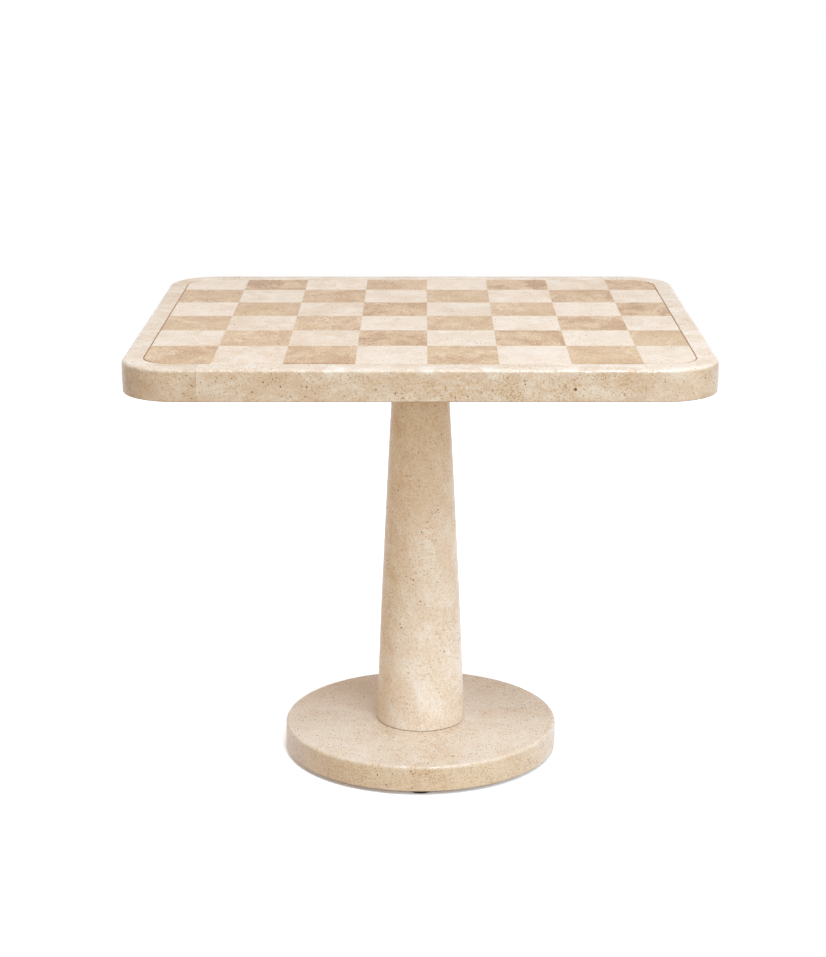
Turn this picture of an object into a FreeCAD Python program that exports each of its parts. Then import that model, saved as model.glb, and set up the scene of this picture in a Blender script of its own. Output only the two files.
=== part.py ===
import FreeCAD
import Part
import Sketcher
import os
import re

# A stone chess table: an inlaid travertine top on a turned column and a round base.
# The origin lies on the floor, on the column's axis. +Z is up, the front faces -Y, lengths are millimetres.

DIMENSIONS = {
    # Overall top
    "table_height": 760,
    "slab_width": 910,
    "slab_depth": 841,
    "slab_thickness": 50,
    "slab_corner_radius": 89.5,
    "slab_top_rounding": 4.5,
    "slab_bottom_rounding": 2,
    # Frame around the board
    "side_border": 32,
    "end_border": 42.5,
    "frame_inner_radius": 51,
    "frame_inner_rounding": 0.8,
    "frame_joint": 0.2,
    "left_corner_reach": 121,
    # Board of tiles, let into the frame behind a narrow groove
    "groove_width": 2,
    "tile_thickness": 12,
    "tile_joint": 0.3,
    "left_column_share": 0.971,
    "right_column_share": 0.7715,
    "front_row_share": 1.078,
    "back_row_share": 0.82,
    # What carries the tiles
    "bed_thickness": 2,
    "underside_thickness": 10,
    "panel_fit": 0.3,
    # Mounting plate and its screws
    "top_plate_radius": 120,
    "top_plate_fit": 0.5,
    "plate_screw_circle": 95,
    "plate_screw_radius": 3,
    "plate_screw_head_radius": 6,
    "plate_screw_length": 28,
    # Tie rod with its nuts and washers
    "rod_radius": 8,
    "rod_hole_fit": 0.5,
    "rod_end_reach": 1.5,
    "nut_flats": 24,
    "nut_height": 8,
    "washer_radius": 15,
    "washer_thickness": 3,
    "nut_pocket_fit": 4,
    "nut_pocket_headroom": 3,
    # Column
    "column_foot_radius": 76.4,
    "column_head_radius": 44,
    "column_swelling": 2,
    "column_bore_radius": 22,
    "column_edge_chamfer": 0.8,
    "gasket_thickness": 0.8,
    "gasket_inset": 1.2,
    "spigot_fit": 0.3,
    "spigot_wall": 6,
    "top_spigot_length": 30,
    "base_spigot_reach": 30,
    # Base
    "base_radius": 235.4,
    "base_thickness": 43.7,
    "base_top_rounding": 4,
    "base_bottom_rounding": 1.5,
    "base_plate_radius": 72,
    "base_plate_thickness": 6,
    "base_plate_fit": 0.8,
    "rod_cover": 1.5,
    # Levelling feet
    "foot_height": 8,
    "foot_inset": 31.4,
    "foot_radius": 20,
    "foot_edge_rounding": 0.8,
    "sole_thickness": 3,
    "hub_inset": 0.8,
    "boss_radius": 7,
    "boss_height": 2.2,
    "boss_running_fit": 0.08,
    "boss_headroom": 0.3,
    "stem_radius": 5,
    "stem_reach": 28,
    "stem_chamfer": 1,
    "stem_running_fit": 0.08,
    "insert_wall": 3,
    "insert_length": 24,
    "insert_depth": 0.5,
    "stem_hole_fit": 1,
    "stem_hole_headroom": 3,
}

COLUMNS = 8
ROWS = 6
# The frame's right seams run on with the joint after so many tile columns, and its side seams with the
# joints after so many rows
RIGHT_SEAM_COLUMN_COUNT = 7
BACK_SEAM_ROW_COUNT = 2
FRONT_SEAM_ROW_COUNT = 4
SCREW_COUNT = 8
FOOT_ANGLES = {"front": -90, "right": 0, "back": 90, "left": 180}
FULL_TURN = 360
# How close two sizes are to count as the same
MATCH = 1e-4
# First guess of a sketched point's place or radius, which its bound size then replaces
START = 1.0

doc = FreeCAD.newDocument("ChessTable")
sheet = doc.addObject("Spreadsheet::Sheet", "Sizes")
for line, (alias, number) in enumerate(DIMENSIONS.items(), start=1):
    sheet.set(f"A{line}", alias)
    sheet.set(f"B{line}", str(number))
    sheet.setAlias(f"B{line}", alias)
doc.recompute()

# Heights and widths that follow from the driving sizes, as expressions over the sheet's cells.
DERIVED = {
    "slab_underside": "(table_height - slab_thickness)",
    "opening_width": "(slab_width - 2 * side_border)",
    "opening_depth": "(slab_depth - 2 * end_border)",
    "board_width": "(slab_width - 2 * side_border - 2 * groove_width)",
    "board_depth": "(slab_depth - 2 * end_border - 2 * groove_width)",
    "core_thickness": "(slab_thickness - underside_thickness - bed_thickness - tile_thickness)",
    "core_underside": "(table_height - slab_thickness + underside_thickness)",
    "base_top": "(foot_height + base_thickness)",
    "column_underside": "(foot_height + base_thickness + gasket_thickness)",
    "column_length":
        "(table_height - slab_thickness - foot_height - base_thickness - 2 * gasket_thickness)",
    "spigot_radius": "(column_bore_radius - spigot_fit)",
    "recess_depth": "(rod_cover + rod_end_reach + nut_height + washer_thickness + base_plate_thickness)",
    "insert_radius": "(stem_radius + stem_running_fit + insert_wall)",
    "hub_thickness": "(foot_height - sole_thickness)",
    "foot_circle_radius": "(base_radius - foot_inset)",
}


def written(text):
    """The expression with derived names filled in and every size read from the sheet."""
    for name, meaning in DERIVED.items():
        text = re.sub(rf"\b{name}\b", meaning, text)
    return re.sub(r"\b[a-z]+_[a-z_]+\b", lambda word: "Sizes." + word.group(), text)


def bind(thing, **sizes):
    """Binds properties of one object to expressions."""
    for name, text in sizes.items():
        thing.setExpression(name, written(text))


def place(thing, across="0", away="0", up="0"):
    """Binds an object's position to expressions."""
    for letter, text in zip("xyz", (across, away, up)):
        thing.setExpression(f"Placement.Base.{letter}", written(text))


def new_body(label):
    body = doc.addObject("PartDesign::Body", label)
    body.Label = label
    return body


def new_sketch(body, plane_role, name):
    """A sketch on one of the body's own origin planes."""
    sketch = body.newObject("Sketcher::SketchObject", name)
    plane = next(item for item in body.Origin.OriginFeatures if item.Role == plane_role)
    sketch.AttachmentSupport = (plane, "")
    sketch.MapMode = "FlatFace"
    return sketch


def pin_point(sketch, across, up):
    """A construction point held at the two expressions."""
    spot = sketch.addGeometry(Part.Point(FreeCAD.Vector(START + sketch.GeometryCount, START)), True)
    for kind, axis, text in (("DistanceX", -2, across), ("DistanceY", -1, up)):
        if text == "0":
            sketch.addConstraint(Sketcher.Constraint("PointOnObject", spot, 1, axis))
        else:
            rule = sketch.addConstraint(Sketcher.Constraint(kind, -1, 1, spot, 1, START))
            sketch.setExpression(f"Constraints[{rule}]", written(text))
    return spot


def where(sketch, spot):
    """The solved place of a sketched point."""
    point = sketch.Geometry[spot]
    return FreeCAD.Vector(point.X, point.Y, 0)


def draw_swelling(sketch, first, pull, last):
    """A curve of the second degree from first to last, drawn towards the pulling point."""
    curve = Part.BSplineCurve()
    poles = [where(sketch, first), where(sketch, pull), where(sketch, last)]
    curve.buildFromPolesMultsKnots(poles, [3, 3], [0, 1], False, 2)
    side = sketch.addGeometry(curve)
    poles_start = sketch.GeometryCount
    sketch.exposeInternalGeometry(side)
    sketch.addConstraint(Sketcher.Constraint("Coincident", side, 1, first, 1))
    sketch.addConstraint(Sketcher.Constraint("Coincident", side, 2, last, 1))
    sketch.addConstraint(Sketcher.Constraint("Coincident", poles_start + 1, 3, pull, 1))


def draw_outline(sketch, corners, bends=None, swell=None):
    """A closed outline through the corners. An edge in bends is an arc through that bend's point.

    The edge in swell is a smooth curve, drawn towards that edge's pulling point.
    """
    bends = {**(bends or {}), **(swell or {})}
    spots = [pin_point(sketch, across, up) for across, up in corners]
    middles = {edge: pin_point(sketch, across, up) for edge, (across, up) in bends.items()}
    doc.recompute()
    for edge, first in enumerate(spots):
        last = spots[(edge + 1) % len(spots)]
        if edge not in middles:
            side = sketch.addGeometry(Part.LineSegment(where(sketch, first), where(sketch, last)))
            sketch.addConstraint(Sketcher.Constraint("Coincident", side, 1, first, 1))
            sketch.addConstraint(Sketcher.Constraint("Coincident", side, 2, last, 1))
            continue
        middle = middles[edge]
        if edge in (swell or {}):
            draw_swelling(sketch, first, middle, last)
            continue
        arc = Part.Arc(where(sketch, first), where(sketch, middle), where(sketch, last))
        side = sketch.addGeometry(arc)
        starts_first = sketch.getPoint(side, 1).distanceToPoint(where(sketch, first)) < MATCH
        ends = (1, 2) if starts_first else (2, 1)
        sketch.addConstraint(Sketcher.Constraint("Coincident", side, ends[0], first, 1))
        sketch.addConstraint(Sketcher.Constraint("Coincident", side, ends[1], last, 1))
        sketch.addConstraint(Sketcher.Constraint("PointOnObject", middle, 1, side))


def draw_circle(sketch, across, up, radius):
    """A circle about the point held at the two expressions."""
    centre = pin_point(sketch, across, up)
    doc.recompute()
    circle = sketch.addGeometry(Part.Circle(where(sketch, centre), FreeCAD.Vector(0, 0, 1), START))
    sketch.addConstraint(Sketcher.Constraint("Coincident", circle, 3, centre, 1))
    rule = sketch.addConstraint(Sketcher.Constraint("Radius", circle, START))
    sketch.setExpression(f"Constraints[{rule}]", written(radius))


def turned(label, corners, swell=None):
    """A body turned about its own Z axis from (radius, height) corners."""
    body = new_body(label)
    sketch = new_sketch(body, "XZ_Plane", label + "_outline")
    draw_outline(sketch, corners, swell=swell)
    turn = body.newObject("PartDesign::Revolution", label + "_turn")
    turn.Profile = sketch
    turn.ReferenceAxis = (sketch, ["V_Axis"])
    turn.Angle = FULL_TURN
    doc.recompute()
    return body


def ring(label, inner, outer, height):
    """A turned ring or tube that stands on its own origin."""
    return turned(label, [(inner, "0"), (outer, "0"), (outer, height), (inner, height)])


def disc(label, outer, height):
    """A turned solid cylinder that stands on its own origin."""
    return turned(label, [("0", "0"), (outer, "0"), (outer, height), ("0", height)])


def cell(name):
    """The value of one size in the sheet."""
    return float(sheet.get(name))


def same(first, second):
    return abs(first - second) < MATCH


def round_edges(shape):
    """The level, flat circles among a shape's edges."""
    return [edge for edge in shape.Edges
            if hasattr(edge.Curve, "Radius") and same(edge.BoundBox.ZMin, edge.BoundBox.ZMax)]


def upper_rim(shape):
    """The highest of a turned shape's widest circles."""
    widest = max(edge.Curve.Radius for edge in round_edges(shape))
    rims = [edge for edge in round_edges(shape) if same(edge.Curve.Radius, widest)]
    return [max(rims, key=lambda edge: edge.BoundBox.ZMax)]


def lower_rim(shape):
    """The lowest of a turned shape's widest circles."""
    widest = max(edge.Curve.Radius for edge in round_edges(shape))
    rims = [edge for edge in round_edges(shape) if same(edge.Curve.Radius, widest)]
    return [min(rims, key=lambda edge: edge.BoundBox.ZMax)]


def rounding(body, name, size, pick, kind="Fillet"):
    """Rounds or chamfers those edges of the body that pick chooses from its shape."""
    base = body.Tip
    chosen = pick(base.Shape)
    picked = [f"Edge{number}" for number, edge in enumerate(base.Shape.Edges, start=1)
              if any(edge.isSame(other) for other in chosen)]
    if not picked:
        raise RuntimeError(f"{body.Label}: no edge found for {name}")
    finish = body.newObject(f"PartDesign::{kind}", f"{body.Label}_{name}")
    finish.Base = (base, picked)
    bind(finish, **{"Radius" if kind == "Fillet" else "Size": size})
    base.Visibility = False
    doc.recompute()
    return finish


def rounded_outline(inset_across, inset_away, width, depth, radius):
    """Corners and bends of a rounded rectangle, width by depth, its low corner at the two insets."""
    near = f"{radius} * (1 - cos(45 deg))"
    left, front = f"({inset_across})", f"({inset_away})"
    right, back = f"({inset_across} + {width})", f"({inset_away} + {depth})"
    corners = [
        (left, f"{front} + {radius}"),
        (f"{left} + {radius}", front),
        (f"{right} - {radius}", front),
        (right, f"{front} + {radius}"),
        (right, f"{back} - {radius}"),
        (f"{right} - {radius}", back),
        (f"{left} + {radius}", back),
        (left, f"{back} - {radius}"),
    ]
    bends = {
        0: (f"{left} + {near}", f"{front} + {near}"),
        2: (f"{right} - {near}", f"{front} + {near}"),
        4: (f"{right} - {near}", f"{back} - {near}"),
        6: (f"{left} + {near}", f"{back} - {near}"),
    }
    plain = [("0" if a == "(0)" else a, "0" if b == "(0)" else b) for a, b in corners]
    return plain, bends


def slab(label, width, depth, thickness, radius, underside):
    """A rounded rectangular panel, centred on the column's axis, padded up from its underside."""
    body = new_body(label)
    sketch = new_sketch(body, "XY_Plane", label + "_outline")
    draw_outline(sketch, *rounded_outline("0", "0", width, depth, radius))
    pad = body.newObject("PartDesign::Pad", label + "_pad")
    pad.Profile = sketch
    bind(pad, Length=thickness)
    place(body, f"-{width} / 2", f"-{depth} / 2", underside)
    doc.recompute()
    return body


def block(name, left, right, front, back, low, high):
    """A plain block between six limits, used to part a larger stone into pieces."""
    box = doc.addObject("Part::Box", name)
    bind(box, Length=f"{right} - ({left})", Width=f"{back} - ({front})", Height=f"{high} - ({low})")
    place(box, left, front, low)
    return box


def rod(name, radius, length, across="0", away="0", up="0"):
    """An upright cylinder."""
    cylinder = doc.addObject("Part::Cylinder", name)
    bind(cylinder, Radius=radius, Height=length)
    place(cylinder, across, away, up)
    return cylinder


def joined(kind, label, first, second):
    """A two-piece boolean, such as Part::Cut or Part::Common."""
    result = doc.addObject(kind, label)
    result.Label = label
    result.Base = first
    result.Tool = second
    return result


def group(label, things, kind="Part::Compound", links="Links"):
    """Several objects as one, loose in a compound or fused."""
    result = doc.addObject(kind, label)
    result.Label = label
    setattr(result, links, things)
    return result


subparts = []

# Frame of the top: one ring of stone, rounded on its edges, parted into four corner blocks and four rails.
frame_ring = new_body("frame_ring")
ring_sketch = new_sketch(frame_ring, "XY_Plane", "frame_ring_outline")
draw_outline(ring_sketch, *rounded_outline("0", "0", "slab_width", "slab_depth", "slab_corner_radius"))
draw_outline(
    ring_sketch,
    *rounded_outline("side_border", "end_border", "opening_width", "opening_depth", "frame_inner_radius"),
)
ring_pad = frame_ring.newObject("PartDesign::Pad", "frame_ring_pad")
ring_pad.Profile = ring_sketch
bind(ring_pad, Length="slab_thickness")
place(frame_ring, "-slab_width / 2", "-slab_depth / 2", "slab_underside")
doc.recompute()


def on_outline(edge):
    """Whether an edge of the frame ring reaches the outline of the top."""
    box = edge.BoundBox
    return (same(box.XMin, 0) or same(box.YMin, 0)
            or same(box.XMax, cell("slab_width")) or same(box.YMax, cell("slab_depth")))


def ring_edges(level, outer):
    """Picks the outer or the inner edges of the frame ring at a level."""
    def pick(shape):
        return [edge for edge in shape.Edges
                if same(edge.BoundBox.ZMin, level) and same(edge.BoundBox.ZMax, level)
                and on_outline(edge) == outer]
    return pick


rounding(frame_ring, "top_rounding", "slab_top_rounding", ring_edges(cell("slab_thickness"), True))
rounding(frame_ring, "bottom_rounding", "slab_bottom_rounding", ring_edges(0, True))
rounding(frame_ring, "inner_rounding", "frame_inner_rounding", ring_edges(cell("slab_thickness"), False))


def column_line(number):
    """Where the joint right of that many tile columns lies, from the left edge of the board."""
    if number == 0:
        return "(-board_width / 2)"
    if number == COLUMNS:
        return "(board_width / 2)"
    pitch = f"board_width / ({COLUMNS - 2} + left_column_share + right_column_share)"
    return f"(-board_width / 2 + (left_column_share + {number - 1}) * {pitch})"


def row_line(number):
    """Where the joint in front of that many tile rows lies, counted from the back edge of the board."""
    if number == 0:
        return "(board_depth / 2)"
    if number == ROWS:
        return "(-board_depth / 2)"
    pitch = f"board_depth / ({ROWS - 2} + back_row_share + front_row_share)"
    return f"(board_depth / 2 - (back_row_share + {number - 1}) * {pitch})"


HALF_JOINT = "frame_joint / 2"
LEFT_EDGE = "(-slab_width / 2)"
RIGHT_EDGE = "(slab_width / 2)"
FRONT_EDGE = "(-slab_depth / 2)"
BACK_EDGE = "(slab_depth / 2)"
LEFT_SEAM = "(left_corner_reach - slab_width / 2)"
RIGHT_SEAM = column_line(RIGHT_SEAM_COLUMN_COUNT)
BACK_SEAM = row_line(BACK_SEAM_ROW_COUNT)
FRONT_SEAM = row_line(FRONT_SEAM_ROW_COUNT)
after_left, before_left = f"({LEFT_SEAM} + {HALF_JOINT})", f"({LEFT_SEAM} - {HALF_JOINT})"
after_right, before_right = f"({RIGHT_SEAM} + {HALF_JOINT})", f"({RIGHT_SEAM} - {HALF_JOINT})"
after_back, before_back = f"({BACK_SEAM} + {HALF_JOINT})", f"({BACK_SEAM} - {HALF_JOINT})"
after_front, before_front = f"({FRONT_SEAM} + {HALF_JOINT})", f"({FRONT_SEAM} - {HALF_JOINT})"

FRAME_PIECES = {
    "corner_front_left": (LEFT_EDGE, before_left, FRONT_EDGE, before_front),
    "corner_front_right": (after_right, RIGHT_EDGE, FRONT_EDGE, before_front),
    "corner_back_left": (LEFT_EDGE, before_left, after_back, BACK_EDGE),
    "corner_back_right": (after_right, RIGHT_EDGE, after_back, BACK_EDGE),
    "rail_front": (after_left, before_right, FRONT_EDGE, "0"),
    "rail_back": (after_left, before_right, "0", BACK_EDGE),
    "rail_left": (LEFT_EDGE, "0", after_front, before_back),
    "rail_right": ("0", RIGHT_EDGE, after_front, before_back),
}
for label, (left, right, front, back) in FRAME_PIECES.items():
    limits = block(label + "_limits", left, right, front, back, "slab_underside", "table_height")
    subparts.append(joined("Part::Common", label, frame_ring, limits))

# Tiles: a board with rounded corners, parted into rows of light and dark tiles with hairline joints.
board_blank = slab(
    "board_blank", "board_width", "board_depth", "tile_thickness",
    "(frame_inner_radius - groove_width)", "(table_height - tile_thickness)",
)


def tile_limits(column, row):
    """The block that holds one tile. Row and column count from 1 at the back left corner."""
    left, right = column_line(column - 1), column_line(column)
    back, front = row_line(row - 1), row_line(row)
    if column > 1:
        left += " + tile_joint / 2"
    if column < COLUMNS:
        right += " - tile_joint / 2"
    if row > 1:
        back += " - tile_joint / 2"
    if row < ROWS:
        front += " + tile_joint / 2"
    name = f"tile_{column}_{row}_limits"
    return block(name, f"({left})", f"({right})", f"({front})", f"({back})",
                 "(table_height - tile_thickness)", "table_height")


for row in range(1, ROWS + 1):
    for shade, remainder in (("light", 0), ("dark", 1)):
        label = f"tiles_row_{row}_{shade}"
        places = [tile_limits(column, row) for column in range(1, COLUMNS + 1)
                  if (column + row) % 2 == remainder]
        limits = group(label + "_limits", places)
        subparts.append(joined("Part::Common", label, board_blank, limits))

# Bed, core and underside fill the frame below the tiles. The mounting plate is let in flush below.
PANEL_WIDTH = "(opening_width - 2 * panel_fit)"
PANEL_DEPTH = "(opening_depth - 2 * panel_fit)"
PANEL_RADIUS = "(frame_inner_radius - panel_fit)"
tile_bed = slab("tile_bed", PANEL_WIDTH, PANEL_DEPTH, "bed_thickness", PANEL_RADIUS,
                "(core_underside + core_thickness)")
subparts.append(tile_bed)

core_blank = slab("core_blank", PANEL_WIDTH, PANEL_DEPTH, "core_thickness", PANEL_RADIUS, "core_underside")
underside_blank = slab("underside_blank", PANEL_WIDTH, PANEL_DEPTH, "underside_thickness", PANEL_RADIUS,
                       "slab_underside")
plate_hole = rod("plate_hole", "(top_plate_radius + top_plate_fit)", "underside_thickness",
                 up="slab_underside")
subparts.append(joined("Part::Cut", "underside_panel", underside_blank, plate_hole))

screw_cores = []
screws = []
HEAD_HEIGHT = "(plate_screw_head_radius - plate_screw_radius)"
for number in range(SCREW_COUNT):
    angle = f"{(number + 0.5) * FULL_TURN / SCREW_COUNT} deg"
    across = f"plate_screw_circle * cos({angle})"
    away = f"plate_screw_circle * sin({angle})"
    head = doc.addObject("Part::Cone", f"screw_head_{number}")
    bind(head, Radius1="plate_screw_head_radius", Radius2="plate_screw_radius", Height=HEAD_HEIGHT)
    place(head, across, away, "slab_underside")
    shank = rod(f"screw_shank_{number}", "plate_screw_radius", "plate_screw_length", across, away,
                "slab_underside")
    screws.append(group(f"screw_{number}", [head, shank], "Part::MultiFuse", "Shapes"))
    screw_cores.append(rod(f"screw_pilot_{number}", "plate_screw_radius",
                           "plate_screw_length - underside_thickness", across, away, "core_underside"))
subparts.append(group("top_plate_screws", screws))

nut_pocket = rod("nut_pocket", "(washer_radius + nut_pocket_fit)",
                 "(washer_thickness + nut_height + rod_end_reach + nut_pocket_headroom)",
                 up="core_underside")
core_cuts = group("core_cuts", [nut_pocket] + screw_cores, "Part::MultiFuse", "Shapes")
subparts.append(joined("Part::Cut", "core_panel", core_blank, core_cuts))

top_plate = ring("top_plate", "(rod_radius + rod_hole_fit)", "top_plate_radius", "underside_thickness")
place(top_plate, up="slab_underside")
hole_sketch = new_sketch(top_plate, "XY_Plane", "top_plate_hole")
draw_circle(
    hole_sketch,
    f"plate_screw_circle * cos({0.5 * FULL_TURN / SCREW_COUNT} deg)",
    f"plate_screw_circle * sin({0.5 * FULL_TURN / SCREW_COUNT} deg)",
    "plate_screw_radius",
)
hole = top_plate.newObject("PartDesign::Pocket", "top_plate_screw_hole")
hole.Profile = hole_sketch
hole.Type = "ThroughAll"
hole.Reversed = True
doc.recompute()


def turned_pattern(body, features, count):
    """Repeats features of a body evenly about its Z axis."""
    pattern = body.newObject("PartDesign::PolarPattern", body.Label + "_pattern")
    pattern.Originals = features
    axis = next(item for item in body.Origin.OriginFeatures if item.Role == "Z_Axis")
    pattern.Axis = (axis, [""])
    pattern.Angle = FULL_TURN
    pattern.Occurrences = count
    body.Tip = pattern
    doc.recompute()


turned_pattern(top_plate, [hole], SCREW_COUNT)


def screw_rims(shape):
    """The lower edges of the screw holes."""
    return [edge for edge in round_edges(shape)
            if same(edge.BoundBox.ZMax, 0) and same(edge.Curve.Radius, cell("plate_screw_radius"))]


rounding(top_plate, "countersinks", HEAD_HEIGHT, screw_rims, kind="Chamfer")
subparts.append(top_plate)

# Tie rod from the recess under the base to the pocket in the core, with a washer and a nut at each end.
ROD_FOOT = "(foot_height + rod_cover)"
ROD_HEAD = "(core_underside + washer_thickness + nut_height + rod_end_reach)"
tie_rod = disc("tie_rod", "rod_radius", f"({ROD_HEAD} - {ROD_FOOT})")
place(tie_rod, up=ROD_FOOT)
subparts.append(tie_rod)


def washer(label, underside):
    body = ring(label, "(rod_radius + rod_hole_fit)", "washer_radius", "washer_thickness")
    place(body, up=underside)
    return body


def hex_nut(label, underside):
    """A thin hexagon nut on the tie rod."""
    blank = doc.addObject("Part::Prism", label + "_blank")
    blank.Polygon = 6
    bind(blank, Circumradius="nut_flats / (2 * cos(30 deg))", Height="nut_height")
    place(blank, up=underside)
    bore = rod(label + "_bore", "rod_radius", "nut_height", up=underside)
    return joined("Part::Cut", label, blank, bore)


subparts.append(washer("top_washer", "core_underside"))
subparts.append(hex_nut("top_nut", "(core_underside + washer_thickness)"))
subparts.append(hex_nut("base_nut", f"({ROD_FOOT} + rod_end_reach)"))
subparts.append(washer("base_washer", f"({ROD_FOOT} + rod_end_reach + nut_height)"))

# Spigots: steel tubes on the two plates, which centre the stone column.
SPIGOT_BORE = "(spigot_radius - spigot_wall)"
top_spigot = ring("top_spigot", SPIGOT_BORE, "spigot_radius", "top_spigot_length")
place(top_spigot, up="(slab_underside - top_spigot_length)")
subparts.append(top_spigot)

BASE_PLATE_TOP = "(foot_height + recess_depth)"
base_spigot = ring("base_spigot", SPIGOT_BORE, "spigot_radius",
                   f"(column_underside + base_spigot_reach - {BASE_PLATE_TOP})")
place(base_spigot, up=BASE_PLATE_TOP)
subparts.append(base_spigot)

# Column: turned and tapered, with a slight swelling halfway up and a bore for the rod.
column = turned(
    "column",
    [
        ("column_bore_radius", "0"),
        ("(column_foot_radius - column_edge_chamfer)", "0"),
        ("column_foot_radius", "column_edge_chamfer"),
        ("column_head_radius", "(column_length - column_edge_chamfer)"),
        ("(column_head_radius - column_edge_chamfer)", "column_length"),
        ("column_bore_radius", "column_length"),
    ],
    {2: ("(column_foot_radius + column_head_radius) / 2 + 2 * column_swelling", "column_length / 2")},
)
place(column, up="column_underside")
subparts.append(column)


def gasket(label, column_radius, underside):
    """A thin ring a little smaller than the end of the column that it seals."""
    body = ring(label, "column_bore_radius", f"({column_radius} - gasket_inset)", "gasket_thickness")
    place(body, up=underside)
    return body


subparts.append(gasket("foot_gasket", "column_foot_radius", "base_top"))
subparts.append(gasket("head_gasket", "column_head_radius", "(slab_underside - gasket_thickness)"))

# Base: a turned disc with a recess for the steel plate and blind holes for the four foot inserts.
base_disc = turned(
    "base_disc",
    [
        ("base_plate_radius + base_plate_fit", "0"),
        ("base_radius", "0"),
        ("base_radius", "base_thickness"),
        ("column_bore_radius", "base_thickness"),
        ("column_bore_radius", "recess_depth"),
        ("base_plate_radius + base_plate_fit", "recess_depth"),
    ],
)
place(base_disc, up="foot_height")


def foot_hole(name, radius, depth):
    """A blind hole up into the base from below, at the place of the right foot."""
    sketch = new_sketch(base_disc, "XY_Plane", name + "_circle")
    draw_circle(sketch, "foot_circle_radius", "0", radius)
    pocket = base_disc.newObject("PartDesign::Pocket", name)
    pocket.Profile = sketch
    pocket.Reversed = True
    bind(pocket, Length=depth)
    doc.recompute()
    return pocket


insert_hole = foot_hole("insert_hole", "insert_radius", "(insert_depth + insert_length)")
stem_hole = foot_hole("stem_hole", "(stem_radius + stem_hole_fit)", "(stem_reach + stem_hole_headroom)")
turned_pattern(base_disc, [insert_hole, stem_hole], len(FOOT_ANGLES))
rounding(base_disc, "top_rounding", "base_top_rounding", upper_rim)
rounding(base_disc, "bottom_rounding", "base_bottom_rounding", lower_rim)
subparts.append(base_disc)

base_plate = ring("base_plate", "(rod_radius + rod_hole_fit)", "base_plate_radius", "base_plate_thickness")
place(base_plate, up=f"({BASE_PLATE_TOP} - base_plate_thickness)")
subparts.append(base_plate)


def at_foot(body, angle, underside):
    """Places a piece on the foot circle at an angle, counted from +X."""
    across, away = (f"foot_circle_radius * {turn}({angle} deg)" for turn in ("cos", "sin"))
    place(body, across, away, underside)
    doc.recompute()
    return body


# Levelling feet: insert in the stone, stem and hub that turn together, sole that stays still on the floor.
HUB_RADIUS = "(foot_radius - hub_inset)"
BOSS_RECESS = "(boss_radius + boss_running_fit)"
BOSS_ROOM = "(boss_height + boss_headroom)"
for side, angle in FOOT_ANGLES.items():
    insert = ring(f"insert_{side}", "(stem_radius + stem_running_fit)", "insert_radius", "insert_length")
    subparts.append(at_foot(insert, angle, "(foot_height + insert_depth)"))

    stem = disc(f"stem_{side}", "stem_radius", f"(hub_thickness - {BOSS_ROOM} + stem_reach)")
    rounding(stem, "end_chamfer", "stem_chamfer", upper_rim, kind="Chamfer")
    subparts.append(at_foot(stem, angle, f"(sole_thickness + {BOSS_ROOM})"))

    hub = turned(
        f"hub_{side}",
        [
            (BOSS_RECESS, "0"),
            (HUB_RADIUS, "0"),
            (HUB_RADIUS, "hub_thickness"),
            ("stem_radius", "hub_thickness"),
            ("stem_radius", BOSS_ROOM),
            (BOSS_RECESS, BOSS_ROOM),
        ],
    )
    rounding(hub, "top_rounding", "foot_edge_rounding", upper_rim)
    subparts.append(at_foot(hub, angle, "sole_thickness"))

    sole = turned(
        f"sole_{side}",
        [
            ("0", "0"),
            ("foot_radius", "0"),
            ("foot_radius", "sole_thickness"),
            ("boss_radius", "sole_thickness"),
            ("boss_radius", "(sole_thickness + boss_height)"),
            ("0", "(sole_thickness + boss_height)"),
        ],
    )
    rounding(sole, "edge_rounding", "foot_edge_rounding", upper_rim)
    subparts.append(at_foot(sole, angle, "0"))

doc.recompute()

# Every feature and every piece is checked before anything is written.
for thing in doc.Objects:
    if "Invalid" in thing.State or "Error" in thing.State:
        raise RuntimeError(f"{thing.Label} failed: {thing.State}")
for piece in subparts:
    if piece.Shape.isNull() or not piece.Shape.isValid() or not piece.Shape.Solids:
        raise RuntimeError(f"{piece.Label} has no valid solid")

os.makedirs("parts", exist_ok=True)
for piece in subparts:
    piece.Shape.exportStep(f"parts/{piece.Label}.step")
    print(piece.Label, len(piece.Shape.Solids), round(piece.Shape.Volume))
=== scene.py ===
import math
import random

import bmesh
import bpy
from mathutils import Matrix, Vector


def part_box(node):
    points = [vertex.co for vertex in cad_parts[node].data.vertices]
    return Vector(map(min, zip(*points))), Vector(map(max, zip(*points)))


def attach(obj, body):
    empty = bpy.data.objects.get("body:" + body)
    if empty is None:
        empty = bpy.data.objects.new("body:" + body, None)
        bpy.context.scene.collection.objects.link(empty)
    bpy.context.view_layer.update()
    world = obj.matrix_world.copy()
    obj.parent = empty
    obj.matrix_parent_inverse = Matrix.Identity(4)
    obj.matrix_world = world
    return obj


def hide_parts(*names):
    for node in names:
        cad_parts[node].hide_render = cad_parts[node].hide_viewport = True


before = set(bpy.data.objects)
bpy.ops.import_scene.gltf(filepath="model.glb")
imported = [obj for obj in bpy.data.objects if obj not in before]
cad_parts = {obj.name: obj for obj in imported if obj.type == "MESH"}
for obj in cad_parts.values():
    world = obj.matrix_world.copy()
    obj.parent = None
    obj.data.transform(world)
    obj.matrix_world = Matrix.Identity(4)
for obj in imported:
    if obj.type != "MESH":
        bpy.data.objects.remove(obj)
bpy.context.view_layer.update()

# Camera. The photograph is taken from the front, a little above the table top, with a long lens.
# The view is held in the photograph's own frame, whose middle lies a little left of the lens's axis.
PHOTO_WIDTH = 826
PHOTO_HEIGHT = 957
LENS_AXIS_PX = 424.5
FOCAL_PX = 2196.5
SENSOR = 36.0
CAMERA_PLACE = (0.00665, -3.61825, 1.43669)
CAMERA_PITCH = math.radians(14.78)

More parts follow.
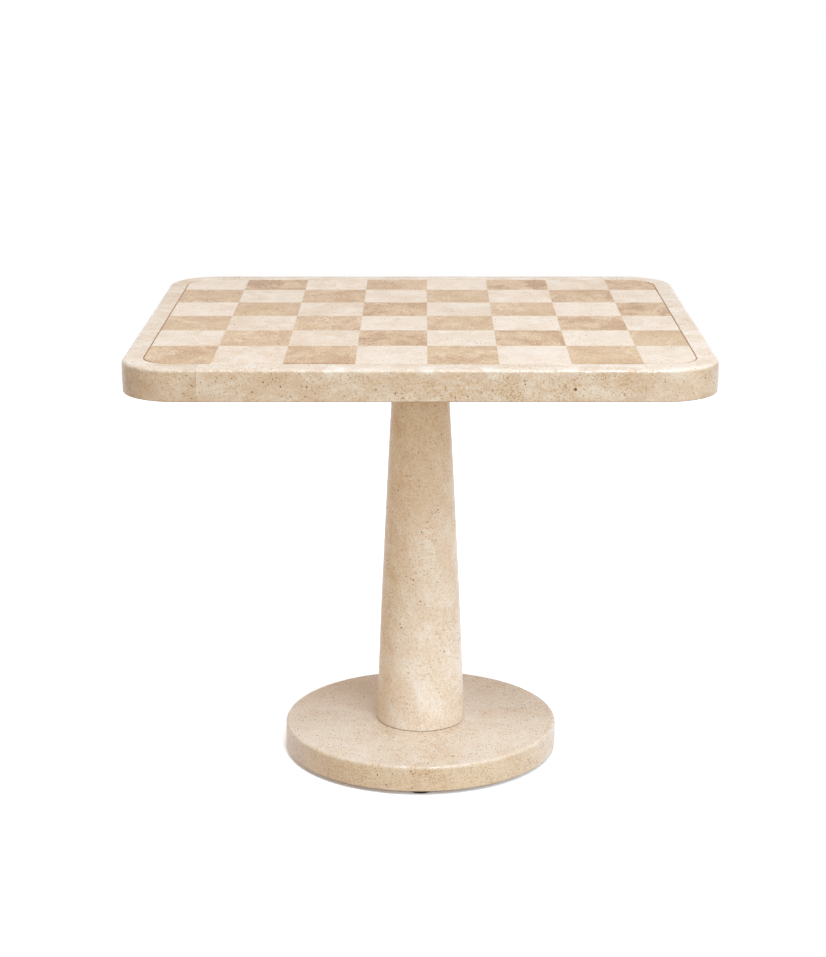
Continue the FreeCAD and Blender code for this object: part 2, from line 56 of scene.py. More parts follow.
lens = bpy.data.cameras.new("camera")
lens.sensor_width = SENSOR
lens.lens = SENSOR * FOCAL_PX / PHOTO_HEIGHT
lens.shift_x = (PHOTO_WIDTH / 2 - LENS_AXIS_PX) / PHOTO_HEIGHT
camera = bpy.data.objects.new("camera", lens)
camera.location = CAMERA_PLACE
camera.rotation_euler = (math.pi / 2 - CAMERA_PITCH, 0, 0)
bpy.context.scene.collection.objects.link(camera)
bpy.context.scene.camera = camera
bpy.context.scene.view_settings.view_transform = "Standard"


# Levelling feet. Four black feet under the base: a rubber sole that stays still on the floor, a fluted
# hub that is turned by hand, and a zinc-plated threaded stem in a brass insert in the stone.
MERGE_GAP = 0.00001
MATCH_GAP = 0.00005
SMOOTH_ANGLE = math.radians(35)


def choose(*pieces):
    """Leaves edit mode and makes these pieces the only selected ones, the first of them active."""
    if bpy.context.mode != "OBJECT":
        bpy.ops.object.mode_set(mode="OBJECT")
    bpy.ops.object.select_all(action="DESELECT")
    for piece in pieces:
        piece.select_set(True)
    if pieces:
        bpy.context.view_layer.objects.active = pieces[0]


def named(name):
    """Gives the active object and its mesh a name."""
    piece = bpy.context.object
    piece.name = name
    piece.data.name = name
    return piece


def select(piece, edges=None, faces=None):
    """In edit mode, selects the edges or faces that pass a test, and nothing else."""
    choose(piece)
    bpy.ops.object.mode_set(mode="EDIT")
    bpy.ops.mesh.select_mode(type="EDGE" if edges else "FACE")
    bpy.ops.mesh.select_all(action="DESELECT")
    mesh = bmesh.from_edit_mesh(piece.data)
    for element in (mesh.edges if edges else mesh.faces):
        element.select_set((edges or faces)(element))
    bmesh.update_edit_mesh(piece.data)


def all_at(test):
    """A test for an edge whose two ends both pass a test of their place."""
    return lambda edge: all(test(end.co) for end in edge.verts)


def radius_of(place):
    return math.hypot(place.x, place.y)


def near(value, wanted):
    return abs(value - wanted) < MATCH_GAP


def rim_at(radius, height):
    """A test for the edges of a round piece's rim at one height."""
    return all_at(lambda end: near(radius_of(end), radius) and near(end.z, height))


def face_outward():
    """In edit mode, selects the whole mesh and turns its faces outward."""
    bpy.ops.mesh.select_all(action="SELECT")
    bpy.ops.mesh.normals_make_consistent(inside=False)


def turned_piece(name, outline, steps, centre=(0, 0)):
    """Spins a closed outline of (radius, height) points about an upright axis, as on a lathe."""
    points = [(radius, 0, height) for radius, height in outline]
    sides = [(spot, (spot + 1) % len(points)) for spot in range(len(points))]
    drawing = bpy.data.meshes.new(name)
    drawing.from_pydata(points, sides, [])
    piece = bpy.data.objects.new(name, drawing)
    bpy.context.scene.collection.objects.link(piece)
    choose(piece)
    bpy.ops.object.mode_set(mode="EDIT")
    bpy.ops.mesh.select_all(action="SELECT")
    bpy.ops.mesh.spin(steps=steps, angle=2 * math.pi, center=(0, 0, 0), axis=(0, 0, 1))
    bpy.ops.mesh.select_all(action="SELECT")
    bpy.ops.mesh.remove_doubles(threshold=MERGE_GAP)
    face_outward()
    bpy.ops.transform.translate(value=(*centre, 0))
    bpy.ops.object.mode_set(mode="OBJECT")
    return piece


def smoothed(piece):
    """Smooth shading over the roundings, with flat faces that stay flat."""
    choose(piece)
    bpy.ops.object.shade_smooth_by_angle(angle=SMOOTH_ANGLE)
    even = piece.modifiers.new("even_normals", "WEIGHTED_NORMAL")
    even.keep_sharp = True
    bpy.ops.object.modifier_apply(modifier=even.name)


def add(tree, kind, inputs=None, **settings):
    """Adds a shader node with its settings. An input takes a number, a colour or another node's output."""
    node = tree.nodes.new("ShaderNode" + kind)
    for name, value in settings.items():
        setattr(node, name, value)
    for name, value in (inputs or {}).items():
        if isinstance(value, bpy.types.NodeSocket):
            tree.links.new(value, node.inputs[name])
        else:
            node.inputs[name].default_value = value
    return node


def maths(tree, operation, *values):
    """Arithmetic on one, two or three values, and its output."""
    return add(tree, "Math", dict(enumerate(values)), operation=operation).outputs[0]


def vector_maths(tree, operation, *values):
    """Arithmetic on places or directions, and its output. SCALE takes a number as its second value."""
    inputs = dict(enumerate(values))
    if operation == "SCALE":
        inputs = {0: values[0], "Scale": values[1]}
    return add(tree, "VectorMath", inputs, operation=operation).outputs[0]


def noise(tree, place, scale, detail, **more):
    """A cloudy pattern, and its outputs: a value and a colour."""
    return add(tree, "TexNoise", {"Vector": place, "Scale": scale, "Detail": detail, **more}).outputs


def colour(red, green, blue):
    """A colour given as it looks on screen, from 0 to 255, turned into the linear one that shaders take."""
    shares = (part / 255 for part in (red, green, blue))
    return (*(s / 12.92 if s <= 0.04045 else ((s + 0.055) / 1.055) ** 2.4 for s in shares), 1)


def blend_colours(tree, share, first, second, kind="MIX"):
    """A colour mix, with its factor clamped, and its output."""
    inputs = {0: share, 6: first, 7: second}
    return add(tree, "Mix", inputs, data_type="RGBA", blend_type=kind).outputs[2]


def tinted(tree, first, tone):
    """A colour multiplied by a tone, and its output."""
    return blend_colours(tree, 1.0, first, tone, kind="MULTIPLY")


def graded(tree, value, low, high, to_low=0.0, to_high=1.0):
    """A value eased from one range to another."""
    grade = add(tree, "MapRange", {"Value": value, "From Min": low, "From Max": high,
                                   "To Min": to_low, "To Max": to_high}, interpolation_type="SMOOTHSTEP")
    return grade.outputs["Result"]


def new_material(name):
    """An empty material with its tree, its Principled shader and the object's own coordinates."""
    material = bpy.data.materials.new(name)
    material.use_nodes = True
    tree = material.node_tree
    shader = tree.nodes["Principled BSDF"]
    place = add(tree, "TexCoord").outputs["Object"]
    return material, tree, shader, place


def new_group(name, inputs, outputs):
    """A shader node group with named inputs and outputs, and its tree, input and output nodes."""
    group = bpy.data.node_groups.new(name, "ShaderNodeTree")
    for direction, sockets in (("INPUT", inputs), ("OUTPUT", outputs)):
        for label, kind, *value in sockets:
            socket = group.interface.new_socket(label, in_out=direction, socket_type="NodeSocket" + kind)
            if value:
                socket.default_value = value[0]
    return group, group.nodes.new("NodeGroupInput").outputs, group.nodes.new("NodeGroupOutput").inputs


def place_group(tree, group, inputs):
    """Places a node group in a material with its own values."""
    return add(tree, "Group", inputs, node_tree=group).outputs


# Grain: the uneven texture of moulded, cast and plated surfaces, as a fine value and a cloudy one.
GRAIN_CLOUD_SCALE = 45.0
grain, given, out = new_group(
    "grain",
    [("Position", "Vector"), ("Scale", "Float", 900.0), ("Stretch", "Vector", (1, 1, 1))],
    [("Value", "Float"), ("Cloud", "Float")],
)
stretched = vector_maths(grain, "MULTIPLY", given["Position"], given["Stretch"])
grain.links.new(noise(grain, stretched, given["Scale"], 3.0)["Fac"], out["Value"])
grain.links.new(noise(grain, stretched, GRAIN_CLOUD_SCALE, 4.0)["Fac"], out["Cloud"])


def plain_material(name, dark, light, roughness, metallic=0.0, scale=900.0, stretch=(1, 1, 1),
                   relief=0.00003):
    """A moulded, cast or plated finish: two close tones in clouds, and a fine grain in gloss and relief."""
    material, tree, shader, place = new_material(name)
    texture = place_group(tree, grain, {"Position": place, "Scale": scale, "Stretch": stretch})
    tone = graded(tree, texture["Cloud"], 0.3, 0.7)
    tree.links.new(blend_colours(tree, tone, dark, light), shader.inputs["Base Color"])
    gloss = graded(tree, texture["Value"], 0.25, 0.75, *roughness)
    tree.links.new(gloss, shader.inputs["Roughness"])
    shader.inputs["Metallic"].default_value = metallic
    bump = add(tree, "Bump", {"Height": texture["Value"], "Distance": relief, "Strength": 0.6})
    tree.links.new(bump.outputs["Normal"], shader.inputs["Normal"])
    return material


def finish_nodes(material, *nodes):
    """Gives construction parts, whose shape is right as it is, their visible finish."""
    for node in nodes:
        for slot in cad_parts[node].material_slots:
            slot.material = material


def round_node(name):
    """The radius, the middle, the foot and the head of an upright round construction part."""
    low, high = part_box(name)
    middle = ((low.x + high.x) / 2, (low.y + high.y) / 2)
    return (high.x - low.x) / 2, middle, low.z, high.z


black_rubber = plain_material("black_rubber", colour(30, 27, 25), colour(46, 42, 39), (0.6, 0.8),
                              scale=1400)
black_hub = plain_material("black_hub", colour(26, 25, 24), colour(38, 36, 34), (0.32, 0.5), scale=1800)
zinc = plain_material("zinc_thread", colour(168, 168, 165), colour(200, 199, 195), (0.25, 0.45), 1.0,
                      stretch=(0.05, 0.05, 4), relief=0.00015)
brass = plain_material("insert_brass", colour(176, 142, 84), colour(205, 172, 110), (0.25, 0.4), 1.0)

SIDES = ("front", "right", "back", "left")
HUB_FLUTES = 24
FLUTE_STEPS = 3
FLUTE_DEPTH = 0.0007
FLUTE_LIP = 0.00025
HUB_EDGE = 0.0008
BOSS_RADIUS = 0.00708
BOSS_ROOM = 0.0025
LEAN_LIMIT = 0.1
RIM_SHARE = 0.9
flute_turn = 2 * math.pi / HUB_FLUTES
for side in SIDES:
    hub_radius, middle, hub_foot, hub_head = round_node(f"hub_{side}")
    stem_radius = round_node(f"stem_{side}")[0]
    hub = turned_piece(
        f"fluted_hub_{side}",
        [(BOSS_RADIUS, hub_foot), (hub_radius, hub_foot), (hub_radius, hub_head), (stem_radius, hub_head),
         (stem_radius, hub_foot + BOSS_ROOM), (BOSS_RADIUS, hub_foot + BOSS_ROOM)],
        HUB_FLUTES * FLUTE_STEPS,
    )
    select(hub, edges=rim_at(hub_radius, hub_head))
    bpy.ops.mesh.bevel(offset=HUB_EDGE, segments=3, affect="EDGES")

    def is_flute(face):
        place = face.calc_center_median()
        on_rim = abs(face.normal.z) < LEAN_LIMIT and radius_of(place) > RIM_SHARE * hub_radius
        return on_rim and math.atan2(place.y, place.x) % flute_turn < flute_turn / FLUTE_STEPS

    select(hub, faces=is_flute)
    bpy.ops.mesh.inset(thickness=FLUTE_LIP, depth=-FLUTE_DEPTH, use_individual=True)
    bpy.ops.mesh.select_all(action="SELECT")
    bpy.ops.transform.translate(value=(*middle, 0))
    smoothed(hub)
    hub.data.materials.append(black_hub)
    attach(hub, f"{side}_screw")
    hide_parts(f"hub_{side}")
    finish_nodes(black_rubber, f"sole_{side}")
    finish_nodes(zinc, f"stem_{side}")
    finish_nodes(brass, f"insert_{side}")


# Stone. Every visible stone is one travertine: pale layers with tan clouds between them, rusty specks, and
# small open pits left where the stone formed. These groups draw it, and each stone places them its own way.
layers, given, out = new_group(
    "layers",
    [("Position", "Vector"), ("Stretch", "Vector", (10, 110, 25)), ("Waviness", "Float", 0.012)],
    [("Layers", "Float"), ("Fine", "Float"), ("Bent", "Vector")],
)
wave = noise(layers, given["Position"], 14.0, 3.0)
centred = vector_maths(layers, "SUBTRACT", wave["Color"], (0.5, 0.5, 0.5))
bend = vector_maths(layers, "SCALE", centred, given["Waviness"])
bent = vector_maths(layers, "ADD", given["Position"], bend)
drawn = vector_maths(layers, "MULTIPLY", bent, given["Stretch"])
broad = noise(layers, drawn, 1.0, 6.0, Roughness=0.62)
thin = noise(layers, drawn, 4.3, 4.0, Roughness=0.6)
layers.links.new(graded(layers, broad["Fac"], 0.32, 0.68), out["Layers"])
layers.links.new(graded(layers, thin["Fac"], 0.34, 0.66), out["Fine"])
layers.links.new(bent, out["Bent"])

# Clouds: tan puffs, and broken threads along the ridges of a second pattern.
RIDGE = 0.52
THREAD_WIDTH = 0.04
clouds, given, out = new_group(
    "clouds",
    [("Position", "Vector"), ("Stretch", "Vector", (1, 1, 1)), ("Scale", "Float", 30.0)],
    [("Clouds", "Float"), ("Threads", "Float")],
)
drawn = vector_maths(clouds, "MULTIPLY", given["Position"], given["Stretch"])
puffs = noise(clouds, drawn, given["Scale"], 9.0, Roughness=0.68, Distortion=0.5)
ridge = noise(clouds, drawn, given["Scale"], 6.0, Roughness=0.6, Lacunarity=2.3, Distortion=1.2)
patchy = noise(clouds, given["Position"], 16.0, 2.0)
from_ridge = maths(clouds, "ABSOLUTE", maths(clouds, "SUBTRACT", ridge["Fac"], RIDGE))
whole = graded(clouds, from_ridge, 0.0, THREAD_WIDTH, 1.0, 0.0)
broken = maths(clouds, "MULTIPLY", whole, graded(clouds, patchy["Fac"], 0.48, 0.6))
clouds.links.new(graded(clouds, puffs["Fac"], 0.38, 0.62), out["Clouds"])
clouds.links.new(broken, out["Threads"])

# Spots: small pits of uneven size, each in a cell of its own, closer together in some places.
SHAKE_SCALE = 700.0
SHAKE = 0.0012
CROWDING_SHARES = (0.15, 1.7)
SPOT_WIDTH_SHARES = (0.35, 1.0)
spots, given, out = new_group(
    "spots",
    [("Position", "Vector"), ("Scale", "Float", 300.0), ("Stretch", "Vector", (1, 1, 1)),
     ("Share", "Float", 0.3), ("Size", "Float", 0.3), ("Cluster", "Float", 18.0)],
    [("Spots", "Float")],
)
shake = vector_maths(spots, "SCALE", noise(spots, given["Position"], SHAKE_SCALE, 2.0)["Color"], SHAKE)
shaken = vector_maths(spots, "ADD", given["Position"], shake)
drawn = vector_maths(spots, "MULTIPLY", shaken, given["Stretch"])
cells = add(spots, "TexVoronoi", {"Vector": drawn, "Scale": given["Scale"]}).outputs
lot = add(spots, "SeparateColor", {"Color": cells["Color"]}).outputs
crowd = noise(spots, given["Position"], given["Cluster"], 3.0)
crowded = graded(spots, crowd["Fac"], 0.38, 0.66, *CROWDING_SHARES)
likelihood = maths(spots, "MULTIPLY", given["Share"], crowded)
present = maths(spots, "LESS_THAN", lot["Red"], likelihood)
width_share = graded(spots, lot["Green"], 0.0, 1.0, *SPOT_WIDTH_SHARES)
inside = maths(spots, "DIVIDE", cells["Distance"], maths(spots, "MULTIPLY", given["Size"], width_share))
disc = graded(spots, inside, 0.55, 1.0, 1.0, 0.0)
spots.links.new(maths(spots, "MULTIPLY", disc, present), out["Spots"])

# Flecks: fine irregular grains from ochre to brown, denser in some places than in others.
flecks, given, out = new_group(
    "flecks",
    [("Position", "Vector"), ("Scale", "Float", 430.0), ("Stretch", "Vector", (1, 1, 1)),
     ("Level", "Float", 0.57), ("Cluster", "Float", 20.0), ("Clumping", "Float", 0.5)],
    [("Flecks", "Float"), ("Tone", "Float")],
)
drawn = vector_maths(flecks, "MULTIPLY", given["Position"], given["Stretch"])
grains = noise(flecks, drawn, given["Scale"], 2.0, Roughness=0.55)
crowd = noise(flecks, given["Position"], given["Cluster"], 3.0)
off_even = maths(flecks, "SUBTRACT", crowd["Fac"], 0.5)
leaning = maths(flecks, "MULTIPLY_ADD", off_even, given["Clumping"], grains["Fac"])
above = maths(flecks, "SUBTRACT", leaning, given["Level"])
lot = add(flecks, "SeparateColor", {"Color": crowd["Color"]}).outputs
flecks.links.new(graded(flecks, above, 0.0, 0.07), out["Flecks"])
flecks.links.new(graded(flecks, lot["Green"], 0.4, 0.6), out["Tone"])

# The colours that every travertine here has in common, and how coarse each part of its figure is.
OCHRE_THREAD = colour(214, 172, 126)
FLECK_OCHRE = colour(208, 167, 106)
FLECK_TAN = colour(194, 160, 111)
FLECK_BROWN = colour(158, 119, 70)
PIT_BROWN = colour(112, 76, 44)
# Painted shade: faces turned down are darkened and browned by this tone.
UNDER_SHADE_TONE = colour(206, 180, 150)
FINE_SHARE = 0.4
OCHRE_SCALE = 470.0
BROWN_SCALE = 270.0
BROWN_LEVEL = 0.66
BROWN_CLUSTER = 30.0
PIT_SCALE = 130.0
PIT_SIZE_SHARE = 0.2
PIT_CLUSTER = 14.0
PIT_STAIN_SHARE = 0.85
MOTTLE_SCALE = 260.0
DARKER_RANGE = (0.48, 0.62)
LIGHTER_RANGE = (0.38, 0.52)
UPRIGHT_RANGE = (0.2, 0.9)
DOWNWARD_RANGE = (-0.7, -0.1)
FLECK_DENT_SHARE = 0.15
DENT_ROUGHNESS = 0.5
HAZE_RANGE = (0.35, 0.65)
SMOOTHER = 0.04
ROUGHER = 0.06
GRIT_SCALE = 900.0
GRIT_SHARE = 0.05
STONE_RELIEF = 0.0008
EDGE_FLECK_SHARE = 0.45
EDGE_RUB_SCALE = 60.0
EDGE_RUB_RANGE = (0.48, 0.63)
EDGE_POLISH_SHARES = (0.12, 1.0)
EDGE_POLISH_ROUGHNESS = 0.16
EDGE_WAVE_SCALE = 70.0
EDGE_WAVE = 0.004


def travertine(name, pale, body, tan, stretch, position=None, layer_share=1.0, cloud_share=0.5,
               cloud_scale=30.0, cloud_stretch=(1, 1, 1), mottle_share=0.5, fleck_share=0.35,
               pit_share=0.12, thread_share=0.35, thread=OCHRE_THREAD, turn=(0, 0, 0),
               spot_stretch=(1, 1, 1), clumping=0.5, side_shade_tone=None, roughness=0.36, gloss=0.5, edge=False):
    """One honed travertine. The layers run along the axes that stretch least, after the turn.

    With a side shade tone, upright faces are painted browner and darker than level ones, and what faces
    down is painted darker and browner still: both are painted shade. A worn edge has fewer flecks, gentle
    waves and a polish in patches, where hands and sleeves have rubbed it."""
    material, tree, shader, place = new_material(name)
    tone, figure = None, 1.0
    if position:
        place, tone, figure = position(tree, place)
    if edge:
        fleck_share = EDGE_FLECK_SHARE * fleck_share
    turned = add(tree, "Mapping", {"Vector": place, "Rotation": turn}).outputs[0]
    bed = place_group(tree, layers, {"Position": turned, "Stretch": stretch})
    puff = place_group(tree, clouds, {"Position": bed["Bent"], "Stretch": cloud_stretch,
                                      "Scale": cloud_scale})
    strewn = {"Position": turned, "Stretch": spot_stretch}
    ochre = place_group(tree, flecks, {**strewn, "Scale": OCHRE_SCALE, "Clumping": clumping})
    brown = place_group(tree, flecks, {**strewn, "Scale": BROWN_SCALE, "Level": BROWN_LEVEL,
                                       "Cluster": BROWN_CLUSTER, "Clumping": clumping})
    pits = place_group(tree, spots, {**strewn, "Scale": PIT_SCALE, "Share": pit_share,
                                     "Size": PIT_SIZE_SHARE, "Cluster": PIT_CLUSTER})

    def weighed(value, weight):
        return maths(tree, "MULTIPLY", value, weight)

    banded = blend_colours(tree, weighed(bed["Layers"], layer_share), pale, body)
    finer = blend_colours(tree, weighed(bed["Fine"], FINE_SHARE * layer_share), banded, tan)
    clouded = blend_colours(tree, weighed(weighed(puff["Clouds"], cloud_share), figure), finer, tan)
    mottle = noise(tree, bed["Bent"], MOTTLE_SCALE, 4.0, Roughness=0.8)["Fac"]
    darker = graded(tree, mottle, *DARKER_RANGE, 0.0, mottle_share)
    lighter = graded(tree, mottle, *LIGHTER_RANGE, mottle_share, 0.0)
    mottled = blend_colours(tree, lighter, blend_colours(tree, darker, clouded, tan), pale)
    threaded = blend_colours(tree, weighed(puff["Threads"], thread_share), mottled, thread)
    fleck_tone = blend_colours(tree, ochre["Tone"], FLECK_OCHRE, FLECK_TAN)
    flecked = blend_colours(tree, weighed(ochre["Flecks"], fleck_share), threaded, fleck_tone)
    browned = blend_colours(tree, weighed(brown["Flecks"], fleck_share), flecked, FLECK_BROWN)
    surface = blend_colours(tree, weighed(pits["Spots"], PIT_STAIN_SHARE), browned, PIT_BROWN)
    if tone:
        surface = tinted(tree, surface, tone)
    # Painted shade: upright faces are darkened by the side shade tone, and faces turned down by the under
    # shade tone.
    if side_shade_tone:
        facing = add(tree, "SeparateXYZ", {0: add(tree, "NewGeometry").outputs["Normal"]}).outputs["Z"]
        on_side = graded(tree, maths(tree, "ABSOLUTE", facing), *UPRIGHT_RANGE, 1.0, 0.0)
        side_shaded = blend_colours(tree, on_side, surface, tinted(tree, surface, side_shade_tone))
        downward = graded(tree, facing, *DOWNWARD_RANGE, 1.0, 0.0)
        surface = blend_colours(tree, downward, side_shaded, tinted(tree, side_shaded, UNDER_SHADE_TONE))
    tree.links.new(surface, shader.inputs["Base Color"])

    dents = maths(tree, "MAXIMUM", weighed(brown["Flecks"], FLECK_DENT_SHARE), pits["Spots"])
    haze = graded(tree, mottle, *HAZE_RANGE, roughness - SMOOTHER, roughness + ROUGHER)
    tree.links.new(maths(tree, "MULTIPLY_ADD", dents, DENT_ROUGHNESS, haze), shader.inputs["Roughness"])
    shader.inputs["Specular IOR Level"].default_value = gloss
    grit = noise(tree, turned, GRIT_SCALE, 3.0)
    raised = maths(tree, "MULTIPLY_ADD", grit["Fac"], GRIT_SHARE, weighed(dents, -1.0))
    bump = add(tree, "Bump", {"Height": raised, "Distance": STONE_RELIEF, "Strength": 0.5})
    tree.links.new(bump.outputs["Normal"], shader.inputs["Normal"])
    if edge:
        rubbed = noise(tree, place, EDGE_RUB_SCALE, 2.0)
        polish = graded(tree, rubbed["Fac"], *EDGE_RUB_RANGE, *EDGE_POLISH_SHARES)
        tree.links.new(polish, shader.inputs["Coat Weight"])
        shader.inputs["Coat Roughness"].default_value = EDGE_POLISH_ROUGHNESS
        wavy = noise(tree, place, EDGE_WAVE_SCALE, 2.0)
        waves = add(tree, "Bump", {"Height": wavy["Fac"], "Distance": EDGE_WAVE, "Strength": 1.0})
        tree.links.new(waves.outputs["Normal"], bump.inputs["Normal"])
    return material


pit_lining = plain_material("pit_lining", colour(118, 82, 48), colour(162, 124, 84), (0.8, 0.95),
                            relief=0.0003)
chip_lining = plain_material("chip_lining", colour(214, 172, 122), colour(240, 220, 192), (0.3, 0.6),
                             relief=0.0003)

# The pit shape that is carved many times: a small uneven ball, made once. A hollow's lining is the number
# of its material in the tool that cuts it.
DARK_PIT = 0
OCHRE_CHIP = 1
UNEVENNESS_SHARE = 0.16
PIT_TURN = 2.4
HOLLOW_GAP_SHARE = 1.25
choose()
bpy.ops.mesh.primitive_ico_sphere_add(subdivisions=2, radius=1)
pit_shape = named("pit_shape")
bpy.ops.object.mode_set(mode="EDIT")
bpy.ops.transform.vertex_random(offset=UNEVENNESS_SHARE, seed=4)
bpy.ops.object.mode_set(mode="OBJECT")


def cut_away(piece, tool):
    """Cuts a tool's shape out of a piece. The cut faces keep the tool's own material."""
    choose(piece)
    cut = piece.modifiers.new("cut", "BOOLEAN")
    cut.operation = "DIFFERENCE"
    cut.solver = "EXACT"
    cut.material_mode = "TRANSFER"
    cut.object = tool
    bpy.ops.object.modifier_apply(modifier=cut.name)
    bpy.data.objects.remove(tool)


def carve(piece, hollows):
    """Cuts pits and chips out of a stone.

    A hollow is a place, a direction outward, three half sizes and the number of its lining."""
    shapes = bmesh.new()
    for number, (place, outward, sizes, lining) in enumerate(hollows):
        facing = Vector(outward).to_track_quat("Z", "Y").to_matrix().to_4x4()
        round_pit = near(sizes[0], sizes[1])
        spin = Matrix.Rotation(number * PIT_TURN, 4, "Z") if round_pit else Matrix.Identity(4)
        matrix = Matrix.Translation(place) @ facing @ spin @ Matrix.Diagonal((*sizes, 1))
        corners = [shapes.verts.new(matrix @ corner.co) for corner in pit_shape.data.vertices]
        for side in pit_shape.data.polygons:
            shapes.faces.new([corners[corner] for corner in side.vertices]).material_index = lining
    bmesh.ops.recalc_face_normals(shapes, faces=shapes.faces)
    tool_mesh = bpy.data.meshes.new("pit_tool")
    shapes.to_mesh(tool_mesh)
    shapes.free()
    tool_mesh.materials.append(pit_lining)
    tool_mesh.materials.append(chip_lining)
    tool = bpy.data.objects.new("pit_tool", tool_mesh)
    bpy.context.scene.collection.objects.link(tool)
    cut_away(piece, tool)


def spaced(candidates, wanted):
    """Takes hollows in turn, as long as they keep clear of those taken before, until there are enough."""
    taken = []
    for hollow in candidates:
        place, reach = Vector(hollow[0]), max(hollow[2])
        if all((place - Vector(other[0])).length > HOLLOW_GAP_SHARE * (reach + max(other[2]))
               for other in taken):
            taken.append(hollow)
        if len(taken) == wanted:
            break
    return taken


# Base. A heavy round disc of travertine, its rim rounded by hand and nicked here and there.
# Underneath it is recessed for the steel plate, which the tie rod's nut pulls up against the stone.
BASE_STEPS = 288
DRILL_STEPS = 32
BASE_TOP_ROUNDING = 0.006
BASE_BOTTOM_ROUNDING = 0.0015
BASE_PITS = 110
BASE_CHIPS = 36
SPIGOT_ROOM = 0.0003
PLATE_ROOM = 0.0008
STEM_ROOM = 0.001
STEM_HEADROOM = 0.003
base_low, base_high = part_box("base_disc")
base_radius = base_high.x
bore_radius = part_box("base_spigot")[1].x + SPIGOT_ROOM
plate_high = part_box("base_plate")[1]
recess_radius = plate_high.x + PLATE_ROOM
recess_top = plate_high.z
base = turned_piece(
    "base_stone",
    [(recess_radius, base_low.z), (base_radius, base_low.z), (base_radius, base_high.z),
     (bore_radius, base_high.z), (bore_radius, recess_top), (recess_radius, recess_top)],
    BASE_STEPS,
)
BASE_STONE = dict(
    pale=colour(245, 235, 221), body=colour(238, 225, 207), tan=colour(220, 190, 153),
    stretch=(18, 14, 40), layer_share=0.4, cloud_share=0.2, cloud_scale=28, mottle_share=0.35,
    fleck_share=0.95, pit_share=0.04, spot_stretch=(1, 0.7, 1.2), clumping=0.25,
    # The side shade tone is painted shade on the base's upright faces.
    side_shade_tone=colour(232, 225, 213),
)
base_stone = travertine("base_travertine_honed", **BASE_STONE)
base.data.materials.append(base_stone)
base.data.materials.append(travertine("base_travertine_edge", **BASE_STONE, roughness=0.3, edge=True))
select(base, edges=rim_at(base_radius, base_high.z))
bpy.ops.mesh.bevel(offset=BASE_TOP_ROUNDING, segments=6, affect="EDGES", material=1)
select(base, edges=rim_at(base_radius, base_low.z))
bpy.ops.mesh.bevel(offset=BASE_BOTTOM_ROUNDING, segments=3, affect="EDGES")

bpy.ops.object.mode_set(mode="OBJECT")
drills = []
for side in SIDES:
    insert_radius, middle, _, insert_head = round_node(f"insert_{side}")
    stem_radius, _, _, stem_head = round_node(f"stem_{side}")
    hole_radius, hole_head = stem_radius + STEM_ROOM, stem_head + STEM_HEADROOM
    drills.append(turned_piece(
        "foot_drill",
        [(0, 0), (insert_radius, 0), (insert_radius, insert_head), (hole_radius, insert_head),
         (hole_radius, hole_head), (0, hole_head)],
        DRILL_STEPS,
        centre=middle,
    ))
choose(*drills)
bpy.ops.object.join()
foot_drills = named("foot_drills")
foot_drills.data.materials.append(base_stone)
cut_away(base, foot_drills)

# The half sizes of a kind of hollow: the smallest, what chance adds to it, and how much chance leans to the
# smallest. Its shares draw it out across, along and outward.
PIT_SIZES = (0.0004, 0.0009, 3)
BASE_CHIP_SIZES = (0.001, 0.0016, 2)
SIDE_PIT_SHARES = (1, 1.6, 1.3)
TOP_PIT_SHARES = (1.7, 1, 1)
BASE_CHIP_SHARES = (0.8, 1.3, 0.6)
CHIP_PLACE_SHARE = 0.3
SIDE_PITS_SHARE = 0.62
SIDE_MARGIN = 0.004
TOP_AREA_SHARES = (0.14, 0.93)
UP = Vector((0, 0, 1))
chance = random.Random(11)


def uneven(smallest, spread, lean):
    """A half size by chance, more often near the smallest one where the lean is high."""
    return smallest + spread * chance.random() ** lean


def drawn_out(size, shares):
    """The three half sizes of a hollow."""
    return tuple(share * size for share in shares)


def level_direction(angle):
    """The level direction at an angle round from the right."""
    return Vector((math.cos(angle), math.sin(angle), 0))


def base_hollows():
    """Pits on the side and top of the base."""
    while True:
        outward = level_direction(chance.uniform(0, 2 * math.pi))
        size = uneven(*PIT_SIZES)
        if chance.random() < SIDE_PITS_SHARE:
            height = chance.uniform(base_low.z + SIDE_MARGIN, base_high.z - BASE_TOP_ROUNDING)
            yield outward * base_radius + UP * height, outward, drawn_out(size, SIDE_PIT_SHARES), DARK_PIT
        else:
            reach = base_radius * math.sqrt(chance.uniform(*TOP_AREA_SHARES))
            yield outward * reach + UP * base_high.z, UP, drawn_out(size, TOP_PIT_SHARES), DARK_PIT


def rim_chips():
    """Small nicks in the rounded upper rim."""
    inward = CHIP_PLACE_SHARE * BASE_TOP_ROUNDING
    while True:
        outward = level_direction(chance.uniform(0, 2 * math.pi))
        size = uneven(*BASE_CHIP_SIZES)
        place = outward * (base_radius - inward) + UP * (base_high.z - inward)
        yield place, outward + UP, drawn_out(size, BASE_CHIP_SHARES), OCHRE_CHIP


carve(base, spaced(base_hollows(), BASE_PITS) + spaced(rim_chips(), BASE_CHIPS))
smoothed(base)
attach(base, "root")
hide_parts("base_disc")

steel_plate = plain_material("painted_plate", colour(52, 51, 50), colour(66, 64, 62), (0.45, 0.6))
nut_zinc = plain_material("nut_zinc", colour(160, 160, 157), colour(194, 193, 189), (0.3, 0.5), 1.0)
finish_nodes(steel_plate, "base_plate", "base_spigot")
finish_nodes(nut_zinc, "base_nut", "base_washer")


# Column. A turned, tapered shaft of travertine with a slight swelling, bored through for the tie rod.
# It stands on a thin gasket, which shows as a fine dark line at its foot.
COLUMN_STEPS = 208
SWELLING_STEPS = 22
HEAD_RADIUS = 0.044
SWELLING = 0.002
COLUMN_EDGE = 0.0008
COLUMN_PITS = 60
column_low, column_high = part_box("column")
foot_radius = column_high.x
pull = (foot_radius + HEAD_RADIUS) / 2 + 2 * SWELLING


